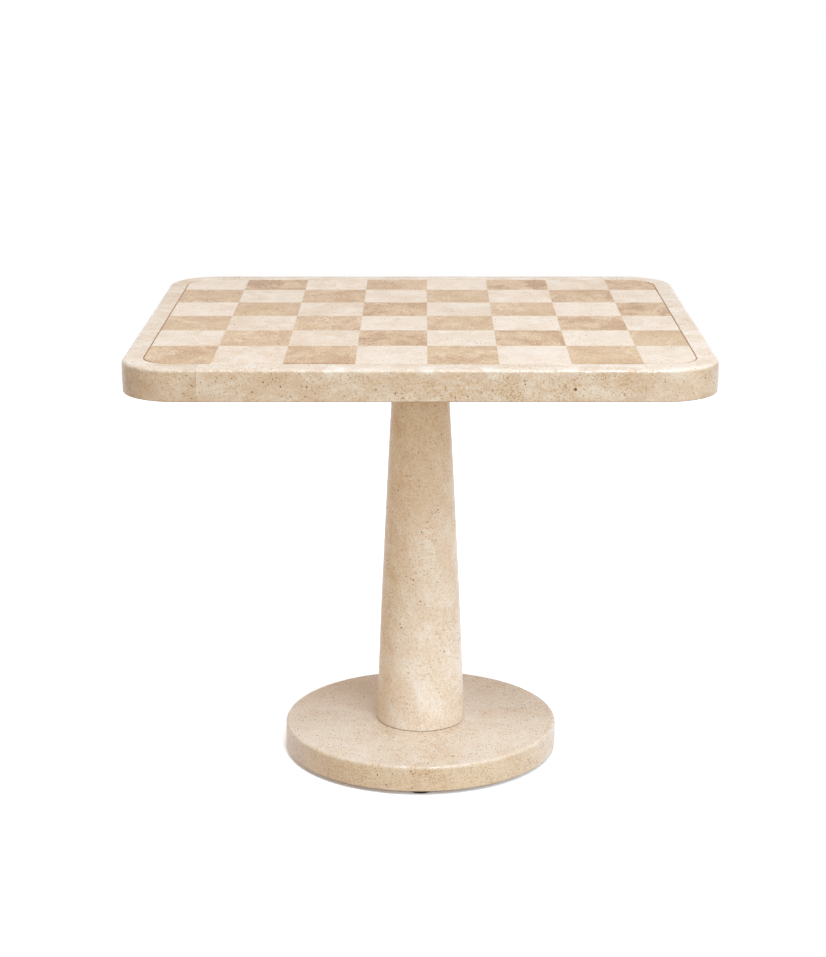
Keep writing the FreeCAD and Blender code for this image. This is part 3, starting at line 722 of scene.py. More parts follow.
def column_side(share):
    """The column's radius and height on its gentle curve, a share of the way up from its foot."""
    start, end = column_low.z + COLUMN_EDGE, column_high.z - COLUMN_EDGE
    radius = (1 - share) ** 2 * foot_radius + 2 * share * (1 - share) * pull + share ** 2 * HEAD_RADIUS
    return radius, start + share * (end - start)


column = turned_piece(
    "column_stone",
    [(bore_radius, column_low.z), (foot_radius - COLUMN_EDGE, column_low.z)]
    + [column_side(step / SWELLING_STEPS) for step in range(SWELLING_STEPS + 1)]
    + [(HEAD_RADIUS - COLUMN_EDGE, column_high.z), (bore_radius, column_high.z)],
    COLUMN_STEPS,
)
chance = random.Random(23)

# The larger pits of the column's front: how far round from the middle in radians, the share of the way
# from its foot to its head, and the half size.
COLUMN_FRONT_PITS = (
    (0.55, 0.602, 0.0008), (0.52, 0.592, 0.0011), (0.55, 0.583, 0.0008), (-1.09, 0.446, 0.0012),
    (-1.0, 0.438, 0.001), (-0.79, 0.436, 0.0008), (-0.25, 0.411, 0.0009), (-0.19, 0.409, 0.0013),
    (-0.2, 0.396, 0.0009), (-0.36, 0.4, 0.0007), (0.19, 0.424, 0.0009), (0.28, 0.439, 0.0008),
    (0.44, 0.4, 0.0009), (0.06, 0.464, 0.0007), (-0.54, 0.286, 0.0012), (-0.5, 0.277, 0.0013),
    (0.61, 0.21, 0.0013), (0.44, 0.26, 0.0008), (0.17, 0.156, 0.0008), (0.33, 0.545, 0.0007),
    (0.74, 0.787, 0.0009), (-0.07, 0.744, 0.0009), (0.67, 0.524, 0.0007), (1.05, 0.18, 0.0009),
)

COLUMN_PIT_SIZES = (0.0005, 0.0008, 3)
COLUMN_PIT_SHARES = (1.3, 1, 1)
COLUMN_HEIGHT_SHARES = (0.02, 0.98)


def column_hollows():
    """Pits in the side of the column: the larger ones in front, and others all round."""
    pits = [(angle - math.pi / 2, share, size) for angle, share, size in COLUMN_FRONT_PITS]
    while True:
        if not pits:
            size = uneven(*COLUMN_PIT_SIZES)
            pits.append((chance.uniform(0, 2 * math.pi), chance.uniform(*COLUMN_HEIGHT_SHARES), size))
        angle, share, size = pits.pop()
        radius, height = column_side(share)
        outward = level_direction(angle)
        yield outward * radius + UP * height, outward, drawn_out(size, COLUMN_PIT_SHARES), DARK_PIT


# Painted shade: the column is darkened and browned towards its head, where the top shades it.
HEAD_SHADE_TONE = (0.62, 0.47, 0.3, 1)
HEAD_SHADE_REACH = 0.115


def column_shaded_position(tree, place):
    """Leaves the pattern as it lies, and paints shade towards the head: the stone is painted browner and
    darker there, where the top shades the column.
    """
    height = add(tree, "SeparateXYZ", {0: place}).outputs["Z"]
    under_top_shade = graded(tree, height, column_high.z - HEAD_SHADE_REACH, column_high.z)
    return place, blend_colours(tree, under_top_shade, (1, 1, 1, 1), HEAD_SHADE_TONE), 1.0


column_stone = travertine(
    "column_travertine_honed", colour(253, 249, 242), colour(248, 237, 223), colour(221, 190, 150),
    stretch=(28, 28, 11), position=column_shaded_position, layer_share=0.4, cloud_share=0.35, cloud_scale=20,
    cloud_stretch=(1, 1, 0.7), mottle_share=0.35, fleck_share=0.48, pit_share=0.05,
    turn=(math.radians(8), math.radians(24), 0), spot_stretch=(1, 1, 0.75), thread_share=0.3, clumping=0.25,
    gloss=0.25,
)
column.data.materials.append(column_stone)
carve(column, spaced(column_hollows(), COLUMN_PITS))
smoothed(column)
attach(column, "root")
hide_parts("column")

gasket_rubber = plain_material("gasket_rubber", colour(108, 82, 56), colour(126, 98, 70), (0.7, 0.85))
finish_nodes(gasket_rubber, "foot_gasket", "head_gasket")
finish_nodes(nut_zinc, "tie_rod")


# Inside of the top. A plywood core carries the tiles in their adhesive bed, and a thin stone facing
# closes it from below. Screws hold the steel mounting plate to the core, and the tie rod's nut pulls it
# against the column.
plywood = plain_material("core_plywood", colour(196, 160, 112), colour(214, 182, 136), (0.6, 0.75),
                         scale=500, stretch=(0.1, 1, 12))
adhesive = plain_material("tile_adhesive", colour(120, 92, 66), colour(146, 116, 86), (0.8, 0.9), scale=600)
underside = travertine(
    "underside_travertine_sawn", colour(206, 180, 148), colour(190, 162, 128), colour(170, 136, 100),
    stretch=(9, 80, 20), layer_share=0.8, cloud_share=0.4, fleck_share=0.4, pit_share=0.2, roughness=0.55,
)
finish_nodes(plywood, "core_panel")
finish_nodes(adhesive, "tile_bed")
finish_nodes(underside, "underside_panel")
finish_nodes(steel_plate, "top_plate", "top_spigot")
finish_nodes(nut_zinc, "top_nut", "top_washer", "top_plate_screws")


# Frame of the top. Four corner blocks and four rails of solid travertine, glued into one rounded frame and
# honed as one, so that its roundings run on over the joints.
ARC_STEPS = 24
TOP_ROUNDING = 0.006
BOTTOM_ROUNDING = 0.0025
INNER_ROUNDING = 0.0008
OUTER_CORNER = 0.0895
INNER_CORNER = 0.051
FRAME_PITS = 200
FRAME_CHIPS = 64
SEAM_MARGIN = 0.006
corner_low, corner_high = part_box("corner_front_left")
rail_low, rail_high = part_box("rail_front")
left_low, left_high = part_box("rail_left")
frame_low = Vector((corner_low.x, corner_low.y, corner_low.z))
frame_high = Vector((-corner_low.x, -corner_low.y, corner_high.z))
inner_width = -left_high.x
inner_depth = -rail_high.y
left_seam = (corner_high.x + rail_low.x) / 2
right_seam = (rail_high.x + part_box("corner_front_right")[0].x) / 2
front_seam = (corner_high.y + left_low.y) / 2
back_seam = (left_high.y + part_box("corner_back_left")[0].y) / 2

PATTERN_JUMP = 7.0
PALER_SHARE = 0.6
YELLOWER_SHARE = 1.5
WHITER_SHARE = 0.8
FIGURE_SHARES = (0.5, 1.5)


def shifted(tree, place, number, tone_range, turn_range=0.0):
    """Moves the pattern to another place for each numbered stone, with a tone and a figure of its own."""
    lot = add(tree, "TexWhiteNoise", {"Vector": number}, noise_dimensions="3D").outputs
    angle = graded(tree, lot["Value"], 0.0, 1.0, -turn_range, turn_range)
    slanted = add(tree, "VectorRotate", {"Vector": place, "Angle": angle}, rotation_type="Z_AXIS")
    jump = vector_maths(tree, "SCALE", lot["Color"], PATTERN_JUMP)
    moved = vector_maths(tree, "ADD", slanted.outputs[0], jump)
    parts = add(tree, "SeparateColor", {"Color": lot["Color"]}).outputs
    bright = graded(tree, parts["Green"], 0.0, 1.0, 1 - tone_range, 1 + PALER_SHARE * tone_range)
    blue = graded(tree, parts["Green"], 0.0, 1.0, 1 - YELLOWER_SHARE * tone_range,
                  1 + WHITER_SHARE * tone_range)
    tone = add(tree, "CombineColor", {"Red": bright, "Green": bright, "Blue": blue}).outputs[0]
    figure = graded(tree, parts["Blue"], 0.0, 1.0, *FIGURE_SHARES)
    return moved, tone, figure


FRAME_NUMBER = 3.0
FRAME_TONE_RANGE = 0.03
LEFT_BLOCK_TONE = (0.97, 0.96, 0.94, 1)
BROWN_END_TONE = (0.9, 0.87, 0.82, 1)
BROWN_END_LENGTH = 0.05
# Painted shade: the frame's outer face towards the far right is darkened and browned by this tone.
RIGHT_FACE_SHADE_TONE = (0.93, 0.88, 0.8, 1)


def frame_position(tree, place):
    """Cuts the pattern anew for each block of the frame, as from another part of the quarry block.

    The left blocks grow browner towards their joint, and the outer face towards the far right is painted
    darker and browner, as painted shade."""
    split = add(tree, "SeparateXYZ", {0: place}).outputs

    def past(axis, seam):
        return maths(tree, "GREATER_THAN", split[axis], seam)

    across = maths(tree, "ADD", past("X", left_seam), past("X", right_seam))
    away = maths(tree, "ADD", past("Y", front_seam), past("Y", back_seam))
    number = add(tree, "CombineXYZ", {"X": across, "Y": away, "Z": FRAME_NUMBER}).outputs[0]
    moved, tone, figure = shifted(tree, place, number, FRAME_TONE_RANGE)
    on_left = graded(tree, across, 0.0, 1.0, 1.0, 0.0)
    brown_end = graded(tree, split["X"], left_seam - BROWN_END_LENGTH, left_seam)
    left_tone = blend_colours(tree, brown_end, LEFT_BLOCK_TONE, BROWN_END_TONE)
    far_right = graded(tree, split["X"], right_seam + SEAM_MARGIN, frame_high.x)
    below_top = graded(tree, split["Z"], frame_high.z - TOP_ROUNDING, frame_high.z, 1.0, 0.0)
    right_face_shade = maths(tree, "MULTIPLY", far_right, below_top)
    right_shaded_tone = blend_colours(tree, right_face_shade, tone, RIGHT_FACE_SHADE_TONE)
    return moved, blend_colours(tree, on_left, right_shaded_tone, left_tone), figure


def rounded_sheet(half_width, half_depth, corner):
    """A flat sheet with four rounded corners, at the level of the top."""
    choose()
    bpy.ops.mesh.primitive_plane_add(size=2, location=(0, 0, frame_high.z))
    sheet = bpy.context.object
    bpy.ops.object.mode_set(mode="EDIT")
    bpy.ops.transform.resize(value=(half_width, half_depth, 1))
    bpy.ops.mesh.bevel(offset=corner, segments=ARC_STEPS, affect="VERTICES")
    bpy.ops.mesh.delete(type="ONLY_FACE")
    bpy.ops.object.mode_set(mode="OBJECT")
    return sheet


def ring_between(name, outer, inner, sunk, fall):
    """A closed ring between two outlines, sunk under the level of the top and falling from there."""
    choose(outer, inner)
    bpy.ops.object.transform_apply(location=True, rotation=True, scale=True)
    bpy.ops.object.join()
    piece = named(name)
    bpy.ops.object.mode_set(mode="EDIT")
    bpy.ops.mesh.select_mode(type="EDGE")
    bpy.ops.mesh.select_all(action="SELECT")
    bpy.ops.mesh.bridge_edge_loops()
    bpy.ops.mesh.select_all(action="SELECT")
    bpy.ops.transform.translate(value=(0, 0, -sunk))
    bpy.ops.mesh.extrude_region_move(TRANSFORM_OT_translate={"value": (0, 0, fall)})
    face_outward()
    return piece


ring = ring_between(
    "frame_ring",
    rounded_sheet(frame_high.x, frame_high.y, OUTER_CORNER),
    rounded_sheet(inner_width, inner_depth, INNER_CORNER),
    sunk=0,
    fall=frame_low.z - frame_high.z,
)
ALONG_LIMIT = 0.01
OUTLINE_LIMIT = 0.001


def from_outline(place):
    """How far a place lies inside the outer outline of the frame."""
    across = abs(place.x) - (frame_high.x - OUTER_CORNER)
    away = abs(place.y) - (frame_high.y - OUTER_CORNER)
    if across > 0 and away > 0:
        return OUTER_CORNER - math.hypot(across, away)
    return OUTER_CORNER - max(across, away)


def on_edge(outside, level):
    """A test for the edges along the ring's outside or inside at one level."""
    def test(edge):
        flat = all(near(end.co.z, level) for end in edge.verts)
        middle = (edge.verts[0].co + edge.verts[1].co) / 2
        across_ring = from_outline(edge.verts[0].co) - from_outline(edge.verts[1].co)
        along = abs(across_ring) < ALONG_LIMIT
        return flat and along and (from_outline(middle) < OUTLINE_LIMIT) == outside
    return test


FRAME_STONE = dict(
    pale=colour(249, 242, 233), body=colour(240, 229, 215), tan=colour(210, 176, 138),
    stretch=(14, 14, 26), position=frame_position, layer_share=0.6, cloud_share=0.45, cloud_scale=22,
    cloud_stretch=(0.7, 1, 1.4), mottle_share=0.25, fleck_share=0.75, pit_share=0.08, clumping=0.35,
    # The side shade tone is painted shade on the frame's upright faces.
    side_shade_tone=colour(225, 220, 212),
)
ring.data.materials.append(travertine("frame_travertine_honed", **FRAME_STONE))
ring.data.materials.append(travertine("frame_travertine_edge", **FRAME_STONE, roughness=0.3, edge=True))
select(ring, edges=on_edge(True, frame_high.z))
bpy.ops.mesh.bevel(offset=TOP_ROUNDING, segments=6, affect="EDGES", material=1)
select(ring, edges=on_edge(True, frame_low.z))
bpy.ops.mesh.bevel(offset=BOTTOM_ROUNDING, segments=3, affect="EDGES")
select(ring, edges=on_edge(False, frame_high.z))
bpy.ops.mesh.bevel(offset=INNER_ROUNDING, segments=2, affect="EDGES")
bpy.ops.object.mode_set(mode="OBJECT")

chance = random.Random(37)


def frame_edge(travel):
    """A point of the frame's outline and its direction outward, a distance round from the front left."""
    wide, deep = 2 * (frame_high.x - OUTER_CORNER), 2 * (frame_high.y - OUTER_CORNER)
    arc = OUTER_CORNER * math.pi / 2
    centre = Vector((-wide / 2, -deep / 2, 0))
    heading = 0.0
    for run in (wide, deep, wide, deep):
        along = Vector((math.cos(heading), math.sin(heading), 0))
        outward = Vector((math.sin(heading), -math.cos(heading), 0))
        if travel < run:
            return centre + along * travel + outward * OUTER_CORNER, outward
        travel -= run
        centre += along * run
        if travel < arc:
            turn_angle = heading + travel / OUTER_CORNER
            outward = Vector((math.sin(turn_angle), -math.cos(turn_angle), 0))
            return centre + outward * OUTER_CORNER, outward
        travel -= arc
        heading += math.pi / 2
    raise ValueError("the distance is longer than the outline")


outline_length = 4 * (frame_high.x + frame_high.y - 2 * OUTER_CORNER) + 2 * math.pi * OUTER_CORNER


def clear_of_seams(place):
    """Whether a place lies clear of the joints between the blocks."""
    gaps = (place.x - left_seam, place.x - right_seam, place.y - front_seam, place.y - back_seam)
    return all(abs(gap) > SEAM_MARGIN for gap in gaps)


# The larger pits of the front face: how far from the middle, how far below the top, and the half size.
FRONT_PITS = (
    (-0.358, 0.014, 0.0009), (-0.3535, 0.036, 0.0009), (-0.347, 0.009, 0.001), (-0.3415, 0.013, 0.0008),
    (-0.3405, 0.024, 0.0012), (-0.341, 0.043, 0.0009), (-0.327, 0.019, 0.0009), (-0.3155, 0.024, 0.0008),
    (-0.309, 0.044, 0.0007), (-0.291, 0.019, 0.0008), (0.230, 0.015, 0.001), (0.2315, 0.030, 0.0026),
    (0.238, 0.008, 0.0008), (0.245, 0.030, 0.0007), (0.250, 0.008, 0.0009),
    (0.252, 0.044, 0.0008), (0.253, 0.0225, 0.0007), (0.258, 0.015, 0.0009), (0.259, 0.022, 0.0008),
    (0.263, 0.013, 0.0009), (0.266, 0.034, 0.0008), (0.273, 0.0145, 0.0009), (0.276, 0.012, 0.0008),
    (0.2845, 0.033, 0.0007), (0.290, 0.010, 0.0009), (0.309, 0.027, 0.0008),
)

CLUSTER_MARGIN_BELOW = 0.006
CLUSTER_MARGIN_ABOVE = 0.008
CLUSTER_PITS = (2, 9)
CLUSTER_LENGTH = 0.03
CLUSTER_HEIGHT = 0.008
FACE_MARGIN = 0.004
FACE_PIT_SHARES = (1, 1.3, 1.3)
FRAME_CHIP_SIZES = (0.0009, 0.0014, 2)
FRAME_CHIP_SHARES = (0.8, 1.4, 0.6)


def frame_hollows():
    """Pits in the outer face of the frame: the larger ones in front, and others all round in clusters."""
    for across, below, size in FRONT_PITS:
        yield Vector((across, frame_low.y, frame_high.z - below)), (0, -1, 0), (size, size, size), DARK_PIT
    while True:
        cluster = chance.uniform(0, outline_length)
        level = chance.uniform(frame_low.z + CLUSTER_MARGIN_BELOW, frame_high.z - CLUSTER_MARGIN_ABOVE)
        for _ in range(chance.randint(*CLUSTER_PITS)):
            travel = (cluster + chance.gauss(0, CLUSTER_LENGTH)) % outline_length
            height = max(level + chance.gauss(0, CLUSTER_HEIGHT), frame_low.z + FACE_MARGIN)
            height = min(height, frame_high.z - TOP_ROUNDING)
            size = uneven(*PIT_SIZES)
            point, outward = frame_edge(travel)
            if clear_of_seams(point):
                yield point + UP * height, outward, drawn_out(size, FACE_PIT_SHARES), DARK_PIT


def frame_chips():
    """Small nicks along the rounded upper edge."""
    while True:
        point, outward = frame_edge(chance.uniform(0, outline_length))
        size = uneven(*FRAME_CHIP_SIZES)
        inward = outward * CHIP_PLACE_SHARE * TOP_ROUNDING
        place = point - inward + UP * (frame_high.z - CHIP_PLACE_SHARE * TOP_ROUNDING)
        if clear_of_seams(point):
            yield place, outward + UP, drawn_out(size, FRAME_CHIP_SHARES), OCHRE_CHIP


carve(ring, spaced(frame_hollows(), FRAME_PITS) + spaced(frame_chips(), FRAME_CHIPS))

HALF_SEAM = 0.00006
JOINT_ARRIS = 0.0001
ALIKE_LIMIT = 0.9
LEFT, MIDDLE, RIGHT = (None, left_seam), (left_seam, right_seam), (right_seam, None)
FRONT, CENTRE, BACK = (None, front_seam), (front_seam, back_seam), (back_seam, None)
BLOCKS = {
    "corner_front_left": (LEFT, FRONT), "rail_front": (MIDDLE, FRONT), "corner_front_right": (RIGHT, FRONT),
    "rail_left": (LEFT, CENTRE), "rail_right": (RIGHT, CENTRE),
    "corner_back_left": (LEFT, BACK), "rail_back": (MIDDLE, BACK), "corner_back_right": (RIGHT, BACK),
}


def saw_off(piece, place, direction):
    """Saws away what lies past a place in a direction, and closes the cut."""
    choose(piece)
    bpy.ops.object.mode_set(mode="EDIT")
    bpy.ops.mesh.select_all(action="SELECT")
    bpy.ops.mesh.bisect(plane_co=place, plane_no=direction, use_fill=True, clear_outer=True)
    way = Vector(direction)
    level = way.dot(Vector(place))

    def borders_cut(edge):
        flat = all(near(way.dot(end.co), level) for end in edge.verts)
        return flat and any(abs(face.normal.dot(way)) < ALIKE_LIMIT for face in edge.link_faces)

    select(piece, edges=borders_cut)
    bpy.ops.mesh.bevel(offset=JOINT_ARRIS, segments=1, affect="EDGES")
    bpy.ops.object.mode_set(mode="OBJECT")


for node, ((left, right), (front, back)) in BLOCKS.items():
    block = ring.copy()
    block.data = ring.data.copy()
    block.name = block.data.name = node + "_block"
    bpy.context.scene.collection.objects.link(block)
    for seam, across, away in ((left, -1, 0), (right, 1, 0), (front, 0, -1), (back, 0, 1)):
        if seam is not None:
            cut_line = seam - (across + away) * HALF_SEAM
            saw_off(block, (abs(across) * cut_line, abs(away) * cut_line, 0), (across, away, 0))
    smoothed(block)
    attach(block, "root")
    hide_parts(node)
bpy.data.objects.remove(ring)


# Board. Forty-eight tiles of light and dark travertine, eight across and six deep, laid with hairline
# joints behind a narrow groove. Each is cut from its own place in the stone, with its layers across.
COLUMNS = 8
ROWS = 6
TILE_ARRIS = 0.00012
BOARD_CORNER = 0.049
CORNER_STEPS = 20
TILE_JOINT = 0.0003
TILE_TONE_RANGE = 0.035
TILE_TURN_RANGE = 0.2
board_left, board_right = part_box("tiles_row_1_light")[0].x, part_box("tiles_row_1_dark")[1].x
first_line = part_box("tiles_row_1_dark")[0].x - TILE_JOINT / 2
last_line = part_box("tiles_row_1_light")[1].x + TILE_JOINT / 2
column_pitch = (last_line - first_line) / (COLUMNS - 2)
first_row_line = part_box("tiles_row_1_light")[0].y - TILE_JOINT / 2
row_pitch = first_row_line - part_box("tiles_row_2_light")[0].y + TILE_JOINT / 2


def tile_position(tree, place):
    """Numbers each tile by its place on the board, and moves the pattern for it."""
    from_line = vector_maths(tree, "SUBTRACT", place, (first_line, first_row_line, 0))
    in_tiles = vector_maths(tree, "DIVIDE", from_line, (column_pitch, row_pitch, 1))
    number = vector_maths(tree, "MULTIPLY", vector_maths(tree, "FLOOR", in_tiles), (1, 1, 0))
    return shifted(tree, place, number, TILE_TONE_RANGE, TILE_TURN_RANGE)


light_stone = travertine(
    "light_travertine_honed", colour(244, 232, 219), colour(238, 222, 205), colour(214, 180, 140),
    stretch=(13, 9, 16), position=tile_position, layer_share=0.4, cloud_share=0.35, cloud_scale=24,
    cloud_stretch=(1.1, 0.6, 1), mottle_share=0.22, fleck_share=0.45, pit_share=0.02, thread_share=0.4,
    spot_stretch=(1.2, 0.5, 1),
)
dark_stone = travertine(
    "dark_travertine_honed", colour(227, 200, 162), colour(206, 167, 119), colour(170, 119, 66),
    stretch=(12, 8, 16), position=tile_position, layer_share=0.6, cloud_share=0.75, cloud_scale=23,
    cloud_stretch=(1.1, 0.6, 1), mottle_share=0.5, fleck_share=0.8, pit_share=0.08, thread_share=0.7,
    thread=colour(234, 214, 188), spot_stretch=(1.2, 0.5, 1),
)


def column_edges(column_number):
    """The left and right limits of one column of tiles."""
    left_line = first_line + (column_number - 2) * column_pitch
    left = board_left if column_number == 1 else left_line + TILE_JOINT / 2
    right = board_right if column_number == COLUMNS else left_line + column_pitch - TILE_JOINT / 2
    return left, right


def tile(left, right, front, back, low, high, round_corner):
    """One tile with eased upper edges, and with one round corner where it lies in a corner of the board."""
    choose()
    middle = ((left + right) / 2, (front + back) / 2, (low + high) / 2)
    bpy.ops.mesh.primitive_cube_add(size=1, location=middle, scale=(right - left, back - front, high - low))
    piece = bpy.context.object
    bpy.ops.object.transform_apply(location=True, rotation=False, scale=True)
    if round_corner:
        across, away = (left if round_corner[0] < 0 else right), (front if round_corner[1] < 0 else back)
        select(piece, edges=all_at(lambda end: near(end.x, across) and near(end.y, away)))
        bpy.ops.mesh.bevel(offset=BOARD_CORNER, segments=CORNER_STEPS, affect="EDGES")
    select(piece, edges=all_at(lambda end: near(end.z, high)))
    bpy.ops.mesh.bevel(offset=TILE_ARRIS, segments=2, affect="EDGES")
    bpy.ops.object.mode_set(mode="OBJECT")
    return piece


TILE_PITS = {"light": 8, "dark": 34}
TILE_PIT_SHARES = (1.8, 1, 1)
TILE_MARGIN = 0.004
chance = random.Random(51)


def tile_hollows(low, high):
    """Small pits in the honed faces of one row of tiles, drawn out along the layers."""
    while True:
        size = uneven(*PIT_SIZES)
        place = Vector((chance.uniform(low.x, high.x), chance.uniform(low.y, high.y), high.z))
        number = math.floor((place.x - first_line) / column_pitch)
        inside = (place.x - first_line) - number * column_pitch
        if TILE_MARGIN < inside < column_pitch - TILE_MARGIN:
            yield place, UP, drawn_out(size, TILE_PIT_SHARES), DARK_PIT


for row in range(1, ROWS + 1):
    for shade, remainder, stone in (("light", 0, light_stone), ("dark", 1, dark_stone)):
        node = f"tiles_row_{row}_{shade}"
        low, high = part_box(node)
        tiles = []
        for number in range(1, COLUMNS + 1):
            if (number + row) % 2 != remainder:
                continue
            left, right = column_edges(number)
            at_side = {1: -1, COLUMNS: 1}.get(number)
            at_end = {1: 1, ROWS: -1}.get(row)
            corner = (at_side, at_end) if at_side and at_end else None
            tiles.append(tile(left, right, low.y, high.y, low.z, high.z, corner))
        choose(*tiles)
        bpy.ops.object.join()
        piece = named(f"row_{row}_{shade}_tiles")
        piece.data.materials.append(stone)
        carve(piece, spaced(tile_hollows(low, high), TILE_PITS[shade]))
        smoothed(piece)
        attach(piece, "root")
        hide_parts(node)
bpy.data.objects.remove(pit_shape)


# Joint filler. Cream filler closes the hairline joints between the tiles, wiped almost level with them.
# A brown filler lies deeper in the groove between the board and the frame.
FILLER_DEPTH = 0.0001
GROOVE_FILL_DEPTH = 0.0008
FILLER_PLAY = 0.00002
tile_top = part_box("tiles_row_1_dark")[1].z
board_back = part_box("tiles_row_1_dark")[1].y
bed_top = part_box("tile_bed")[1].z
choose()
bpy.ops.mesh.primitive_plane_add(size=2, location=(0, 0, tile_top - FILLER_DEPTH))
filler = named("tile_joint_filler")
bpy.ops.object.mode_set(mode="EDIT")
bpy.ops.transform.resize(value=(board_right, board_back, 1))
for number in range(COLUMNS - 1):
    bpy.ops.mesh.select_all(action="SELECT")
    bpy.ops.mesh.bisect(plane_co=(first_line + number * column_pitch, 0, 0), plane_no=(1, 0, 0))
for number in range(ROWS - 1):
    bpy.ops.mesh.select_all(action="SELECT")
    bpy.ops.mesh.bisect(plane_co=(0, first_row_line - number * row_pitch, 0), plane_no=(0, 1, 0))
bpy.ops.mesh.select_all(action="SELECT")
bpy.ops.mesh.inset(thickness=TILE_JOINT / 2 - FILLER_PLAY, use_individual=True)
bpy.ops.mesh.delete(type="FACE")


def at_board_edge(face):
    middle = face.calc_center_median()
    return abs(middle.x) > board_right - TILE_JOINT or abs(middle.y) > board_back - TILE_JOINT


select(filler, faces=at_board_edge)
bpy.ops.mesh.delete(type="FACE")
bpy.ops.mesh.select_all(action="SELECT")
filler_fall = bed_top - tile_top + FILLER_DEPTH
bpy.ops.mesh.extrude_region_move(TRANSFORM_OT_translate={"value": (0, 0, filler_fall)})
face_outward()
filler.data.materials.append(
    plain_material("cream_filler", colour(224, 202, 176), colour(238, 220, 198), (0.5, 0.7), scale=1200))

groove_filler = ring_between(
    "groove_filler",
    rounded_sheet(inner_width - FILLER_PLAY, inner_depth - FILLER_PLAY, INNER_CORNER),
    rounded_sheet(board_right + FILLER_PLAY, board_back + FILLER_PLAY, BOARD_CORNER),
    sunk=GROOVE_FILL_DEPTH,
    fall=bed_top - frame_high.z + GROOVE_FILL_DEPTH,
)
groove_filler.data.materials.append(
    plain_material("brown_filler", colour(150, 108, 68), colour(182, 142, 100), (0.6, 0.8), scale=1200))
for piece in (filler, groove_filler):
    choose(piece)
    bpy.ops.object.transform_apply(location=True, rotation=True, scale=True)
    smoothed(piece)
    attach(piece, "root")


# Studio. A plain white floor and background, with a painted contact shadow on the floor close round the
# base, a large soft light high on the right in front, and weaker soft light all round, so that the stone
# shows about its own colour.
FLOOR_SIZE = 6
FLOOR_BOUNCE = (0.74, 0.6, 0.4, 1)
SEEN_FLOOR = (1.6, 1.9, 2.35, 1)
FLOOR_GLOW = 0.27
AMBIENT = 0.435
AMBIENT_TINT = (1.21, 0.96, 0.7, 1)
LEFT_SHADE = (0.85, 0.76, 0.6, 1)
LEFT_RANGE = (-1.0, 0.3)
BACKDROP_GLOW = (2.3, 2.35, 2.5, 1)
BACKDROP_RANGE = (0.1, 0.9)
CONTACT_REACH = 0.018
CONTACT_RANGE = (0.3, 0.87)
CONTACT_SHADE_TONE = (1.3, 1.43, 1.52, 1)
CONTACT_GLOW_SHARE = 0.6
FLOOR_PLAY = 0.0002
KEY_PLACE = (0.8, -2.6, 4.1)
KEY_AIM = (0, 0, 0.6)
KEY_SIZE = 1.2
KEY_POWER = 101
KEY_TINT = (0.85, 1.02, 1.2)
SIDE_PLACE = (3.05, -4.7, 3.5)
SIDE_AIM = (0, 0, 0.5)
SIDE_SIZE = 2.6
SIDE_POWER = 140
SIDE_TINT = (0.84, 1.02, 1.2)


def seen_directly(tree):
    """One for the rays that show the background itself: from the camera, or by way of gloss or glass."""
    path = add(tree, "LightPath").outputs
    either = maths(tree, "MAXIMUM", path["Is Camera Ray"], path["Is Glossy Ray"])
    return maths(tree, "MAXIMUM", either, path["Is Transmission Ray"])


world = bpy.data.worlds.new("studio")
world.use_nodes = True
bpy.context.scene.world = world
sky = world.node_tree
sky.nodes.clear()
way = add(sky, "SeparateXYZ", {0: add(sky, "TexCoord").outputs["Generated"]}).outputs
from_left = graded(sky, way["X"], *LEFT_RANGE, 1.0, 0.0)
left_tint = tuple(a * b for a, b in zip(AMBIENT_TINT, LEFT_SHADE))
shaded = blend_colours(sky, from_left, AMBIENT_TINT, left_tint)
low_down = graded(sky, way["Z"], *BACKDROP_RANGE, 1.0, 0.0)
behind = maths(sky, "MULTIPLY", graded(sky, way["Y"], 0.0, 1.0), low_down)
around = blend_colours(sky, behind, shaded, BACKDROP_GLOW)
soft = add(sky, "Background", {"Color": around, "Strength": AMBIENT})
white = add(sky, "Background", {"Color": (1, 1, 1, 1), "Strength": 1.0})
either = add(sky, "MixShader", {0: seen_directly(sky), 1: soft.outputs[0], 2: white.outputs[0]})
add(sky, "OutputWorld", {"Surface": either.outputs[0]})

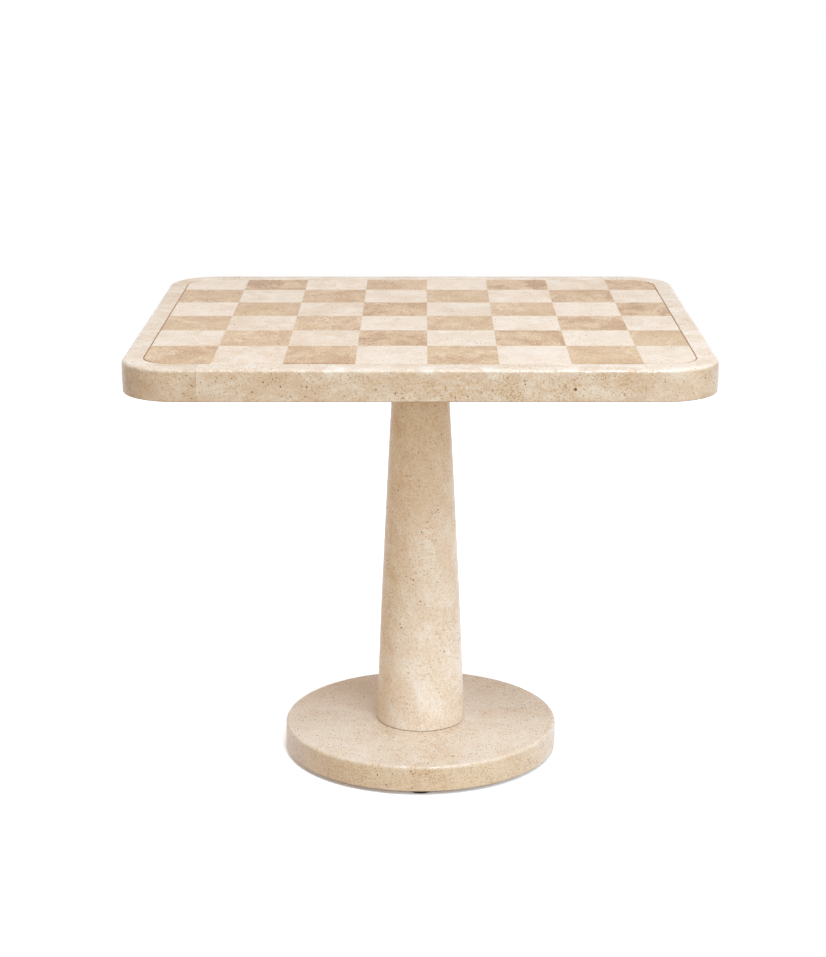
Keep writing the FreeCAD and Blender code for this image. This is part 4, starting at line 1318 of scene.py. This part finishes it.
choose()
bpy.ops.mesh.primitive_plane_add(size=FLOOR_SIZE, location=(0, 0, -FLOOR_PLAY))
bpy.ops.object.transform_apply(location=True, rotation=False, scale=False)
floor = named("studio_floor")
floor_paint = bpy.data.materials.new("studio_white")
floor_paint.use_nodes = True
tree = floor_paint.node_tree
tree.nodes.clear()
# Painted shade: near the object, ambient occlusion darkens the floor's seen colour and its glow, a painted
# contact shadow.
contact = add(tree, "AmbientOcclusion", {"Distance": CONTACT_REACH}, samples=16)
clear = graded(tree, contact.outputs["AO"], *CONTACT_RANGE)
matt = add(tree, "BsdfDiffuse", {"Color": FLOOR_BOUNCE})
pale = add(tree, "BsdfDiffuse", {"Color": blend_colours(tree, clear, CONTACT_SHADE_TONE, SEEN_FLOOR)})
strength = graded(tree, clear, 0.0, 1.0, CONTACT_GLOW_SHARE * FLOOR_GLOW, FLOOR_GLOW)
glow = add(tree, "Emission", {"Strength": strength})
lit = add(tree, "AddShader", {0: pale.outputs[0], 1: glow.outputs[0]})
shown = add(tree, "MixShader", {0: seen_directly(tree), 1: matt.outputs[0], 2: lit.outputs[0]})
backfacing = add(tree, "NewGeometry").outputs["Backfacing"]
from_below = maths(tree, "MULTIPLY", backfacing, add(tree, "LightPath").outputs["Is Camera Ray"])
see_through = add(tree, "BsdfTransparent").outputs[0]
open_below = add(tree, "MixShader", {0: from_below, 1: shown.outputs[0], 2: see_through})
add(tree, "OutputMaterial", {"Surface": open_below.outputs[0]})
floor.data.materials.append(floor_paint)


def soft_light(name, place, aim, size, power, tint, in_gloss):
    """A square soft box that points at a place, and shows in polished stone or not."""
    lamp = bpy.data.lights.new(name, "AREA")
    lamp.shape = "SQUARE"
    lamp.size = size
    lamp.energy = power
    lamp.color = tint
    box = bpy.data.objects.new(name, lamp)
    box.location = place
    box.rotation_euler = (Vector(aim) - Vector(place)).to_track_quat("-Z", "Y").to_euler()
    box.visible_camera = False
    box.visible_glossy = in_gloss
    bpy.context.scene.collection.objects.link(box)


soft_light("key_light", KEY_PLACE, KEY_AIM, KEY_SIZE, KEY_POWER, KEY_TINT, True)
soft_light("side_light", SIDE_PLACE, SIDE_AIM, SIDE_SIZE, SIDE_POWER, SIDE_TINT, False)
